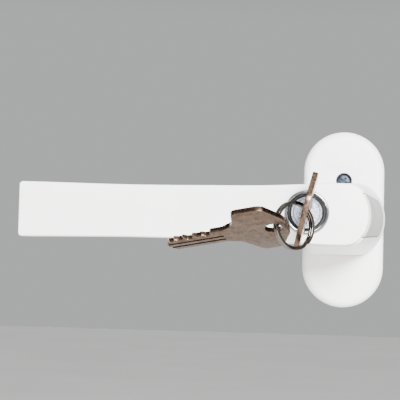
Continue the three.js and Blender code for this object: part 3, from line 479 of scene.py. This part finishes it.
WHITE = white_coat()
GREY = grey_plastic()
PLUG_ZINC = metal("speckled_zinc", (0.03, 0.03, 0.045), (0.44, 0.46, 0.53),
                  0.38, 7000, 0.6, 0.0001)
CAST_ZINC = metal("cast_zinc", (0.38, 0.40, 0.42), (0.55, 0.57, 0.60), 0.5, 500, 0.3, 0.0001)
# Zinc darkened nearly to black for the lock housing's front ring: painted dark reflection, standing
# in for the black surroundings that the ring mirrors.
ZINC_PAINTED_DARK_REFLECTION = metal("zinc_painted_dark_reflection", (0.012, 0.014, 0.013), (0.04, 0.045, 0.04),
                  0.4, 900, 0.3, 0.0001)
CHROME = metal("polished_chrome", (0.28, 0.28, 0.30), (0.40, 0.41, 0.43),
               0.14, 400, 0.03, 0.00002)
STEEL = metal("drawn_steel", (0.42, 0.43, 0.45), (0.6, 0.61, 0.63), 0.34, 700, 0.15)
# Screw steel darkened nearly to black: painted shade, for the shade deep in the cover's hole round
# the screw head.
SCREW_STEEL_PAINTED_SHADE = metal("screw_steel_painted_shade", (0.015, 0.02, 0.027), (0.055, 0.068, 0.085),
                    0.35, 900, 0.15)
SPRING_STEEL = metal("oiled_spring_steel", (0.28, 0.28, 0.29), (0.42, 0.43, 0.44), 0.28, 900, 0.1)
BRASS = metal("milled_brass", (0.48, 0.34, 0.14), (0.62, 0.47, 0.22), 0.32, 900, 0.15)
# The keys' metal: a dark brown nickel.
KEY_NICKEL = metal("dark_brown_key_nickel", (0.07, 0.043, 0.028), (0.155, 0.105, 0.076), 0.26, 1800, 0.15)
RING_NICKEL = metal("dark_nickel", (0.06, 0.05, 0.045), (0.24, 0.215, 0.19), 0.14, 500, 0.06)
NYLON = plain_plastic("natural_nylon", (0.78, 0.77, 0.72))


def dress(piece, material):
    """Gives the piece one material only."""
    piece.data.materials.clear()
    piece.data.materials.append(material)
    return piece


def finish_piece(piece, material, body, node):
    """Dresses a piece that stands in for a CAD node, and puts it on its body."""
    dress(piece, material)
    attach(piece, body)
    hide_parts(node)
    return piece


# ---------------------------------------------------------------- base
def base_cover():
    """The thin shell over the base, with a round edge, the lever's opening and one screw hole."""
    outline = stadium(BASE_HALF, BASE_RISE)
    sections = [at_depth(outline, 0)]
    STEPS = 12
    for i in range(STEPS + 1):
        angle = math.pi / 2 * i / STEPS
        step = BASE_EDGE * (1 - math.cos(angle))
        depth = BASE_EDGE * (1 - math.sin(angle))
        sections.append(at_depth(inset(outline, step), BASE_FRONT + depth))
    piece = loft("base_cover_shell", sections)
    inner = inset(outline, COVER_WALL)
    hollow = loft("hollow", [at_depth(inner, PAST), at_depth(inner, BASE_FRONT + COVER_WALL)])
    opening = cylinder("opening", COVER_OPENING, BASE_FRONT - PAST, 0, steps=96)
    hole = cylinder("hole", SCREW_HOLE_RADIUS, BASE_FRONT - PAST, 0, (0, SCREW_Z))
    combine(piece, [hollow, opening, hole])
    return soften(piece, 0.25 * MM, 40)


def upper_screw():
    """A countersunk screw with a cross recess, whose head shows in the cover's hole."""
    top, end = SCREW_LOW.y, SCREW_HIGH.y
    head = SCREW_HIGH.x
    dome, chamfer = 0.2 * MM, 0.1 * MM
    head_depth = 1.6 * MM
    profile = [(0, top), (head * 0.6, top + 0.02 * MM), (head - chamfer, top + dome),
               (head, top + dome + chamfer), (SHANK_RADIUS, top + head_depth)]
    THREADS = 22
    thread_top = top + 3 * MM
    point_length = 2 * MM
    pitch = (end - point_length - thread_top) / THREADS
    core = SHANK_RADIUS * 0.8
    profile.append((SHANK_RADIUS, thread_top))
    for i in range(THREADS):
        start = thread_top + i * pitch
        profile += [(core, start + pitch * 0.4), (core, start + pitch * 0.6),
                    (SHANK_RADIUS, start + pitch)]
    profile.append((0, end))
    piece = turned("base_screw_upper_detail", profile, 48, (0, SCREW_Z))
    lean = 0.5
    for turn in (lean, math.pi / 2 + lean):
        place = Matrix.Translation((0, top, SCREW_Z)) @ Matrix.Rotation(turn, 4, "Y")
        slot = block("recess", (-RECESS_ARM, -PAST, -RECESS_HALF),
                     (RECESS_ARM, RECESS_DEPTH, RECESS_HALF), place)
        combine(piece, [slot])
    return smooth(piece, 35)


finish_piece(base_cover(), WHITE, "base", "base_cover")
finish_piece(upper_screw(), SCREW_STEEL_PAINTED_SHADE, "base", "base_screw_upper")


# ---------------------------------------------------------------- lever
# The back of the lever sweeps from the neck's rear to the grip: a curve in (x, y).
SWEEP = [Vector((NECK_LEFT_X, NECK_REAR_Y)), Vector((-16.5, -15)) * MM,
         Vector((-30 * MM, GRIP_BACK_Y)), Vector((-52 * MM, GRIP_BACK_Y))]


def bezier(points, t):
    weights = ((1 - t) ** 3, 3 * t * (1 - t) ** 2, 3 * t ** 2 * (1 - t), t ** 3)
    return sum((point * weight for point, weight in zip(points, weights)), Vector((0, 0)))


def grip_section(x, back_y, half):
    """A cut through the grip: flat at the front, with round corners at the back."""
    radius = min(GRIP_EDGE, (back_y - NECK_FRONT_Y) * 0.6)
    points = [Vector((x, NECK_FRONT_Y, -half)), Vector((x, NECK_FRONT_Y, half))]
    upper = arc((half - radius, back_y - radius), radius, 0, 90, 10)
    points += [Vector((x, y, z)) for z, y in upper]
    points += [Vector((x, y, -z)) for z, y in reversed(upper)]
    return points


def grip_side(x):
    return grip_half(x) - GRIP_INSET


def grip():
    """The casting behind the front cover: a round tip, the grip, and the sweep into the neck."""
    sections = []
    ROUNDING = 6
    for i in range(ROUNDING + 1):
        angle = math.pi / 2 * i / ROUNDING
        step = GRIP_TIP_EDGE * (1 - math.sin(angle))
        x = TIP_X + GRIP_TIP_INSET + GRIP_TIP_EDGE * (1 - math.cos(angle))
        sections.append(grip_section(x, GRIP_TIP_BACK_Y - step, grip_side(x) - step * 0.7))
    STATIONS = 24
    start, end = TIP_X + 4 * MM, SWEEP[3].x
    for i in range(STATIONS):
        x = start + (end - start) * i / STATIONS
        share = min((x - TIP_X) / (end - GRIP_TAPER_END - TIP_X), 1)
        back = GRIP_TIP_BACK_Y + (GRIP_BACK_Y - GRIP_TIP_BACK_Y) * share
        sections.append(grip_section(x, back, grip_side(x)))
    STEPS = 36
    for i in range(STEPS + 1):
        point = bezier(SWEEP, 1 - i / STEPS)
        sections.append(grip_section(point.x, point.y, min(grip_side(point.x), GRIP_ROOT_HALF)))
    sections.append(grip_section(GRIP_ROOT_X, NECK_REAR_Y, GRIP_ROOT_HALF))
    return loft("grip", sections)


def neck_skin(name, low, high, shift=0.0):
    """The neck as a solid between two depths. The shift moves it along -X."""
    def row(y):
        share = FRONT_SHARE + (1 - FRONT_SHARE) * (y - NECK_FRONT_Y) / (NECK_REAR_Y - NECK_FRONT_Y)
        return [Vector((x - shift, y, z)) for x, z in neck_outline(share)]
    ROWS = 12
    return loft(name, [row(low + (high - low) * i / ROWS) for i in range(ROWS + 1)])


def button_column(clearance):
    """The button's outline drawn out along X: widest at the front, with round rear corners."""
    half = BUTTON_HALF + clearance
    rear_half = half - BUTTON_TAPER
    height = BUTTON_REAR_Y + clearance - NECK_FRONT_Y
    side = [(half, -PAST), (rear_half, height - BUTTON_CORNER_START)]
    corner = (rear_half - BUTTON_CORNER, height - BUTTON_CORNER)
    side += arc(corner, BUTTON_CORNER, 8, 90, 12)
    outline = side + [(-z, y) for z, y in reversed(side)]
    place = Matrix(((0, 0, 1, 0), (0, 1, 0, NECK_FRONT_Y), (-1, 0, 0, 0), (0, 0, 0, 1)))
    past_neck = 30 * MM
    return prism("column", outline, 0, past_neck, place)


def button_pocket():
    """The room that the button moves in: between the neck's skin and the same skin, further in."""
    room = button_column(CLEARANCE)
    core_end = BUTTON_REAR_Y + 1.3 * MM
    core = neck_skin("core", NECK_FRONT_Y - 2 * PAST, core_end, BUTTON_DEPTH + BUTTON_TRAVEL_ROOM)
    return combine(room, [core])


def lock_rooms():
    """The room behind the lock for the cam drum, and the channels for the bolt."""
    drum_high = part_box("cam_drum")[1]
    bolt_low, bolt_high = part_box("lock_bolt")
    end = drum_high.y + 1.3 * MM
    room = cylinder("room", DRUM_ROOM_RADIUS, HOUSING_HIGH.y, end, (LOCK_X, LOCK_Z))
    far_x = bolt_high.x + CLEARANCE
    low_z, high_z = bolt_low.z - CLEARANCE, bolt_high.z + CLEARANCE
    wide = block("wide", (BOLT_CHANNEL_X, HOUSING_HIGH.y, low_z), (far_x, end, high_z))
    narrow = block("narrow", (bolt_high.x - BOLT_FOOT, end - PAST, low_z),
                   (far_x, NECK_REAR_Y + PAST, high_z))
    return room, wide, narrow


def catch_rooms():
    """The well and the slot of the catch spring, and the well of the button spring."""
    low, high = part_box("catch_spring")
    spring_low, spring_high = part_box("button_spring")
    front_room, side_room = 0.6 * MM, 0.7 * MM
    well = block("well", (low.x, low.y - front_room, low.z - side_room),
                 (WELL_END_X, BUTTON_REAR_Y + CLEARANCE, high.z + side_room))
    foot_travel, foot_gap, slot_gap = 2.7 * MM, 0.2 * MM, 0.25 * MM
    slot = block("slot", (high.x - foot_travel, BUTTON_REAR_Y - PAST, low.z - slot_gap),
                 (high.x + foot_gap, NECK_REAR_Y + PAST, high.z + slot_gap))
    spring_y = (spring_low.y + spring_high.y) / 2
    spring_z = (spring_low.z + spring_high.z) / 2
    spring_well = cylinder("spring_well", SPRING_WELL_RADIUS, spring_low.x, WELL_END_X, steps=32)
    return well, slot, lay_along_x(spring_well, (0, spring_y, spring_z))


def lever_casting():
    """Neck, grip and collar in one, with the rooms for all that they hold."""
    piece = neck_skin("lever_casting_body", NECK_FRONT_Y, NECK_REAR_Y)
    collar = cylinder("collar", COLLAR_RADIUS, NECK_REAR_Y - PAST, COLLAR_END_Y)
    combine(piece, [grip(), collar], "UNION")
    spindle_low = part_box("spindle")[0]
    socket = block("socket", (-SOCKET_HALF, spindle_low.y - CLEARANCE, -SOCKET_HALF),
                   (SOCKET_HALF, 0, SOCKET_HALF))
    bore = cylinder("bore", HOUSING_RADIUS + BORE_GAP, NECK_FRONT_Y - PAST,
                    HOUSING_HIGH.y + 1.2 * MM, (LOCK_X, LOCK_Z))
    combine(piece, [socket, bore, button_pocket(), *lock_rooms(), *catch_rooms()])
    inner, outer, low, high = RING_GROOVE
    groove = turned("groove", [(inner, low), (outer, low), (outer, high), (inner, high)])
    combine(piece, [groove])
    return soften(piece, 0.2 * MM, 42, 2)


def front_cover():
    """The plate along the lever's front, with a fine round edge all round."""
    outline = lever_outline()
    sections = [at_depth(outline, COVER_BACK_Y)]
    STEPS = 6
    for i in range(STEPS + 1):
        angle = math.pi / 2 * i / STEPS
        inwards = COVER_EDGE * (1 - math.cos(angle))
        depth = COVER_EDGE * (1 - math.sin(angle))
        sections.append(at_depth(inset(outline, inwards), FRONT_Y + depth))
    piece = loft("front_cover_plate", sections)
    bore = cylinder("bore", HOUSING_RADIUS + BORE_GAP, FRONT_Y - PAST, COVER_BACK_Y + PAST,
                    (LOCK_X, LOCK_Z), 96)
    counterbore = cylinder("counterbore", BEZEL_RADIUS + COUNTERBORE_GAP, FRONT_Y - PAST,
                           FRONT_Y + COUNTERBORE_DEPTH, (LOCK_X, LOCK_Z), 96)
    combine(piece, [bore, counterbore])
    return smooth(piece, 35)


finish_piece(lever_casting(), WHITE, "handle", "lever_casting")
finish_piece(front_cover(), WHITE, "handle", "front_cover")


# ---------------------------------------------------------------- button
def push_button():
    """A curved cap that follows the neck's end, with a stem for its spring."""
    piece = neck_skin("push_button_cap", NECK_FRONT_Y, BUTTON_REAR_Y + PAST)
    core = neck_skin("core", NECK_FRONT_Y - 2 * PAST, BUTTON_REAR_Y + 2 * PAST, BUTTON_DEPTH)
    combine(piece, [core])
    combine(piece, [button_column(0)], "INTERSECT")
    spring_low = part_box("button_spring")[0]
    stem = cylinder("stem", STEM_RADIUS, 0, STEM_LENGTH, steps=32)
    lay_along_x(stem, (spring_low.x + STEM_INSET, STEM_Y, STEM_Z))
    combine(piece, [stem], "UNION")
    return soften(piece, 0.12 * MM, 40, 2)


finish_piece(push_button(), GREY, "button", "push_button")


# ---------------------------------------------------------------- lock
LOCK_PLACE = Matrix.Translation((LOCK_X, 0, LOCK_Z)) @ Matrix.Rotation(LOCK_LEAN, 4, "Y")


def lock_bezel():
    """The polished ring round the lock, rounded more on its outer edge."""
    low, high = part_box("lock_bezel")
    inner, outer = HOUSING_RADIUS - 0.2 * MM, BEZEL_RADIUS
    lip, edge = 0.3 * MM, 0.45 * MM
    profile = [(inner, high.y), (inner, low.y + lip), (inner + 0.12 * MM, low.y + 0.1 * MM),
               (inner + lip, low.y)]
    profile += [(outer - edge + x, low.y + edge - y) for x, y in arc((0, 0), edge, 90, 0, 8)]
    profile.append((outer, high.y))
    return smooth(turned("lock_bezel_ring", profile, 128, (LOCK_X, LOCK_Z)), 35)


def lock_plug():
    """The plug's head has a raised rim, a keyway and a fine step at its edge."""
    tail, tail_radius = PLUG_HIGH.y, 1.3 * MM
    body_end = HOUSING_HIGH.y - 0.1 * MM
    head_end = PLUG_FACE_Y + 2.5 * MM
    dish, dish_radius = 0.25 * MM, 4.7 * MM
    rim_inner, rim_outer, rim_edge = 4.95 * MM, 5.55 * MM, 0.3 * MM
    profile = [(0, PLUG_FACE_Y + dish), (dish_radius, PLUG_FACE_Y + dish),
               (rim_inner, PLUG_FACE_Y + 0.02 * MM), (rim_outer, PLUG_FACE_Y),
               (PLUG_HEAD_RADIUS, PLUG_FACE_Y + rim_edge), (PLUG_HEAD_RADIUS, head_end),
               (PLUG_RADIUS, head_end), (PLUG_RADIUS, body_end),
               (tail_radius, body_end), (tail_radius, tail), (0, tail)]
    piece = turned("lock_plug_detail", profile, 96)
    slot_half = KEY_THICK / 2 + 0.2 * MM
    blade_half = BLADE_HALF + 0.35 * MM
    keyway_end = -26.6 * MM
    keyway = block("keyway", (-slot_half, PLUG_FACE_Y - PAST, -blade_half),
                   (slot_half, keyway_end, blade_half))
    combine(piece, [keyway])
    wafer_half, wafer_reach, wafer_room = 2.2 * MM, 5.1 * MM, 0.15 * MM
    for number in range(1, len(CUT_DEPTHS) + 1):
        low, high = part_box(f"wafer_{number}")
        slot = block("slot", (-wafer_half, low.y - wafer_room, -wafer_reach),
                     (wafer_half, high.y + wafer_room, wafer_reach))
        combine(piece, [slot])
    piece.data.transform(LOCK_PLACE)
    return smooth(piece, 30)


def lock_housing():
    """The sleeve that the plug turns in, with a groove for the wafers' ends."""
    low, high = HOUSING_LOW.y, HOUSING_HIGH.y
    seat = PLUG_FACE_Y + 2.6 * MM
    inner, head_inner, outer = PLUG_RADIUS + 0.08 * MM, PLUG_HEAD_RADIUS + 0.12 * MM, HOUSING_RADIUS
    neck, neck_end = outer - 0.35 * MM, low + 1.4 * MM
    profile = [(inner, seat), (head_inner, seat), (head_inner, low + 0.4 * MM),
               (head_inner + 0.28 * MM, low), (neck, low), (neck, neck_end),
               (outer, neck_end), (outer, high), (inner, high)]
    piece = turned("lock_housing_detail", profile, 96)
    groove_half, groove_reach = 2.25 * MM, 6.25 * MM
    start, end = seat + 1 * MM, high - 1.5 * MM
    groove = block("groove", (-groove_half, start, -groove_reach), (groove_half, end, groove_reach))
    combine(piece, [groove])
    piece.data.transform(LOCK_PLACE)
    return smooth(piece, 30)


finish_piece(lock_bezel(), CHROME, "handle", "lock_bezel")
finish_piece(lock_plug(), PLUG_ZINC, "plug", "lock_plug")
finish_piece(lock_housing(), ZINC_PAINTED_DARK_REFLECTION, "handle", "lock_housing")


# ---------------------------------------------------------------- keys and ring
def curve_to(points, control, end, steps=8):
    """Adds a quadratic curve from the last point."""
    start = Vector(points[-1])
    control, end = Vector(control), Vector(end)
    for i in range(1, steps + 1):
        t = i / steps
        point = start * (1 - t) ** 2 + control * 2 * t * (1 - t) + end * t ** 2
        points.append((point.x, point.y))


def upper_bow():
    """The bow's upper half, from the shoulder to its end, in millimetres."""
    wide = BOW_HALF / MM
    points = [(0, 4), (2, 5.2)]
    curve_to(points, (4.4, 5.8), (4.9, 8.4))
    points.append((5.9, wide - 1.4))
    curve_to(points, (6.4, wide - 0.1), (8, wide))
    return points + bow_end()


def lower_bow():
    """The bow's lower half, whose shoulder slants."""
    wide = BOW_HALF / MM
    points = [(0, 4), (2, 5)]
    curve_to(points, (4, 5.4), (5.2, 7))
    points.append((8.6, wide - 2.2))
    curve_to(points, (10, wide), (11.6, wide))
    return [(x, -y) for x, y in points + bow_end()]


def bow_end():
    """The far end of either half, which rounds off to the straight end of the bow."""
    wide = BOW_HALF / MM
    length = BOW_LENGTH / MM
    points = [(14.6, wide)]
    curve_to(points, (16.4, wide - 0.1), (17.6, wide - 1.2))
    points.append((length - 1.3, 6.8))
    curve_to(points, (length, 4.8), (length, 2.8))
    return points


def key_outline():
    """The bow and the blade with its cuts, in metres along the key."""
    half = BLADE_HALF / MM
    tip = -BLADE_LENGTH / MM
    points = lower_bow() + upper_bow()[::-1]
    for i, depth in enumerate(CUT_DEPTHS):
        middle = FIRST_CUT - i * CUT_PITCH
        crest = half - (0 if i == 0 else CREST_DEPTH)
        root = half - depth
        points += [(middle + 1.5, crest), (middle + 0.6, root), (middle - 0.6, root)]
    points += [(tip + 1.2, half - CREST_DEPTH - 0.6), (tip, half - 3.4), (tip, 2.4 - half),
               (tip + 2.4, -half)]
    return [(x * MM, y * MM) for x, y in points]


def border_line(low, high):
    """The fine line cut inside the bow's edge: a thin frame between two outlines."""
    outline = [(x * MM, y * MM) for x, y in lower_bow()[2:] + upper_bow()[:1:-1]]
    border = prism("border", inset(outline, BORDER_INSET), low, high)
    middle_outline = inset(outline, BORDER_INSET + BORDER_WIDTH)
    middle = prism("middle", middle_outline, low - PAST, high + PAST)
    return combine(border, [middle])


def key(name, place):
    """A flat key with milled grooves along its blade and a fine border line on its bow."""
    half = KEY_THICK / 2
    piece = prism(name, key_outline(), -half, half)
    hole = prism("hole", arc((BOW_HOLE_X, 0), BOW_HOLE_RADIUS, 0, 360, 48)[:-1], -1, 1)
    combine(piece, [hole])
    soften(piece, 0.22 * MM, 40, 3)
    reach = half - GROOVE_DEPTH
    for y in GROOVE_HEIGHTS:
        for low, high in ((reach, half + PAST), (-half - PAST, -reach)):
            groove = block("groove", (-BLADE_LENGTH - PAST, y - GROOVE_WIDTH / 2, low),
                           (-GROOVE_START, y + GROOVE_WIDTH / 2, high))
            combine(piece, [groove])
    for low, high in ((half - BORDER_DEPTH, half + PAST), (-half - PAST, BORDER_DEPTH - half)):
        combine(piece, [border_line(low, high)])
    smooth(piece, 35)
    piece.data.transform(place)
    return piece


def basis(x, y, z, origin):
    """The place whose three axes point along x, y and z."""
    rotation = Matrix((x, y, z)).transposed().to_4x4()
    return Matrix.Translation(origin) @ rotation


def inserted_key_place():
    """The key in the lock leans with the plug, and its bow stands just off the plug's face."""
    out = Vector((0, -1, 0))
    up = Vector((0, 0, 1))
    local = basis(out, up, out.cross(up), Vector((0, PLUG_FACE_Y - KEY_STANDOFF, 0)))
    return LOCK_PLACE @ local


def spare_key_place():
    """The spare key's bow hole rests on the ring, and its blade points away from it."""
    blade = Vector((-0.966, 0.2, -0.168)).normalized()
    width = Vector((-0.234, -0.884, 0.405))
    width = (width - blade * width.dot(blade)).normalized()
    slack = 0.9 * MM
    origin = RING_CENTRE + RING_TO_SPARE + blade * (BOW_HOLE_X + slack)
    return basis(-blade, width, (-blade).cross(width), origin)


def split_ring():
    """Two turns of flattened wire side by side, with a step where one passes to the other."""
    TURNS = 2
    STEPS = 96
    wire_half_width = 0.62 * MM
    wire_half_depth = 0.52 * MM
    wire_edge = 0.24 * MM
    lane = 0.56 * MM  # from the ring's middle to the middle of either turn
    start_angle = 250
    step_span = 32  # the degrees that the step takes
    rotation = Vector((0, 1, 0)).rotation_difference(RING_AXIS).to_matrix()
    sections = []
    total = TURNS * STEPS - 4  # the wire's ends stop short of meeting
    middle = 180 * total / STEPS
    for i in range(total + 1):
        turned_by = 360 * i / STEPS
        share = min(max((turned_by - middle) / step_span + 0.5, 0), 1)
        share = share * share * (3 - 2 * share)
        side = lane * (2 * share - 1)
        angle = math.radians(start_angle + turned_by)
        outward = Vector((math.cos(angle), 0, math.sin(angle)))
        section = []
        for across, along in rounded_box(wire_half_width, wire_half_depth, wire_edge):
            point = outward * (RING_RADIUS + across) + Vector((0, side + along, 0))
            section.append(rotation @ point + RING_CENTRE)
        sections.append(section)
    return smooth(loft("split_ring_coil", sections), 40)


def rounded_box(half_x, half_y, radius):
    """The outline of a rectangle with round corners."""
    points = []
    for quarter, (sx, sy) in enumerate(((1, 1), (-1, 1), (-1, -1), (1, -1))):
        centre = (sx * (half_x - radius), sy * (half_y - radius))
        points += arc(centre, radius, 90 * quarter, 90 * (quarter + 1), 4)
    return points


inserted_key = key("inserted_key_detail", inserted_key_place())
finish_piece(inserted_key, KEY_NICKEL, "key", "inserted_key")
spare_key = key("spare_key_detail", spare_key_place())
finish_piece(spare_key, KEY_NICKEL, "spare", "spare_key")
finish_piece(split_ring(), RING_NICKEL, "ring", "split_ring")


# ---------------------------------------------------------------- carried-over nodes
# These CAD nodes are shown as they are, in a better material.
CARRIED = {
    "base_plate": CAST_ZINC, "bearing_bush": NYLON, "base_screw_lower": SCREW_STEEL_PAINTED_SHADE,
    "spindle": STEEL, "retaining_ring": SPRING_STEEL, "wave_washer": SPRING_STEEL,
    "cam_drum": CAST_ZINC, "cam_clip": SPRING_STEEL, "lock_bolt": BRASS,
    "button_spring": SPRING_STEEL, "catch_spring": SPRING_STEEL,
}
for number in range(len(CUT_DEPTHS)):
    CARRIED[f"wafer_{number + 1}"] = BRASS
for node_name, node_material in CARRIED.items():
    smooth(dress(frame["nodes"][node_name], node_material), 30)


# ---------------------------------------------------------------- floor, light and camera
def floor():
    """A wide pale floor below the object."""
    size = 6.0
    level = -0.32
    data = bpy.data.meshes.new("floor")
    corners = [(x * size, y * size, level) for x, y in ((-1, -1), (1, -1), (1, 1), (-1, 1))]
    data.from_pydata(corners, [], [(0, 1, 2, 3)])
    plane = new_object("floor", data)
    material, tree, shader = base_material("pale_floor", (0.78, 0.78, 0.77), 0.8)
    tone = ramp(tree, noise(tree, 3, 2), [(0.3, (0.76, 0.76, 0.75)), (0.7, (0.80, 0.80, 0.79))])
    tree.links.new(tone, shader.inputs["Base Color"])
    dress(plane, material)


def area_light(name, place, target, size, power, colour=(1, 1, 1)):
    """A rectangular lamp at a place, facing the target."""
    data = bpy.data.lights.new(name, "AREA")
    data.shape = "RECTANGLE"
    data.size, data.size_y = size
    data.energy = power
    data.color = colour
    lamp = new_object(name, data)
    lamp.location = place
    lamp.rotation_euler = (Vector(target) - Vector(place)).to_track_quat("-Z", "Y").to_euler()


def world():
    """A soft studio: pale at the horizon and bright overhead, with a dark band between."""
    scene_world = bpy.data.worlds.new("studio")
    bpy.context.scene.world = scene_world
    scene_world.use_nodes = True
    tree = scene_world.node_tree
    background = tree.nodes["Background"]
    background.inputs["Strength"].default_value = 0.6
    coordinates = tree.nodes.new("ShaderNodeTexCoord")
    split = tree.nodes.new("ShaderNodeSeparateXYZ")
    tree.links.new(coordinates.outputs["Generated"], split.inputs["Vector"])
    pale, dark, bright = (0.82, 0.83, 0.84), (0.09, 0.09, 0.095), (4, 4, 4)
    stops = [(0.2, pale), (0.48, dark), (0.8, dark), (0.9, bright)]
    tree.links.new(ramp(tree, split.outputs["Z"], stops), background.inputs["Color"])


def camera():
    """The view from the room, a little from the right and from below."""
    place = Vector((-0.004, -0.505, -0.023))
    yaw, pitch, roll = math.radians(6.1), math.radians(3.4), math.radians(1.4)
    reach = math.cos(pitch)
    forward = Vector((-math.sin(yaw) * reach, math.cos(yaw) * reach, math.sin(pitch)))
    level = Vector((math.cos(yaw), math.sin(yaw), 0))
    above = level.cross(forward)
    right = level * math.cos(roll) + above * math.sin(roll)
    up = above * math.cos(roll) - level * math.sin(roll)
    data = bpy.data.cameras.new("camera")
    data.sensor_width = 36
    data.lens = 112.5
    data.clip_start = 0.01
    data.clip_end = 50
    viewer = new_object("camera", data)
    viewer.matrix_world = basis(right, up, -forward, place)
    bpy.context.scene.camera = viewer


floor()
world()
area_light("key_light", (0.3, -1.0, 0.42), (-0.03, -0.03, 0), (0.55, 0.4), 66)
area_light("fill_light", (-0.9, -0.8, 0.3), (-0.05, -0.04, 0), (0.8, 0.8), 2.5)
area_light("warm_light", (-0.35, -0.7, -0.28), (-0.02, -0.03, 0), (0.4, 0.2), 1.5, (1, 0.6, 0.36))
camera()
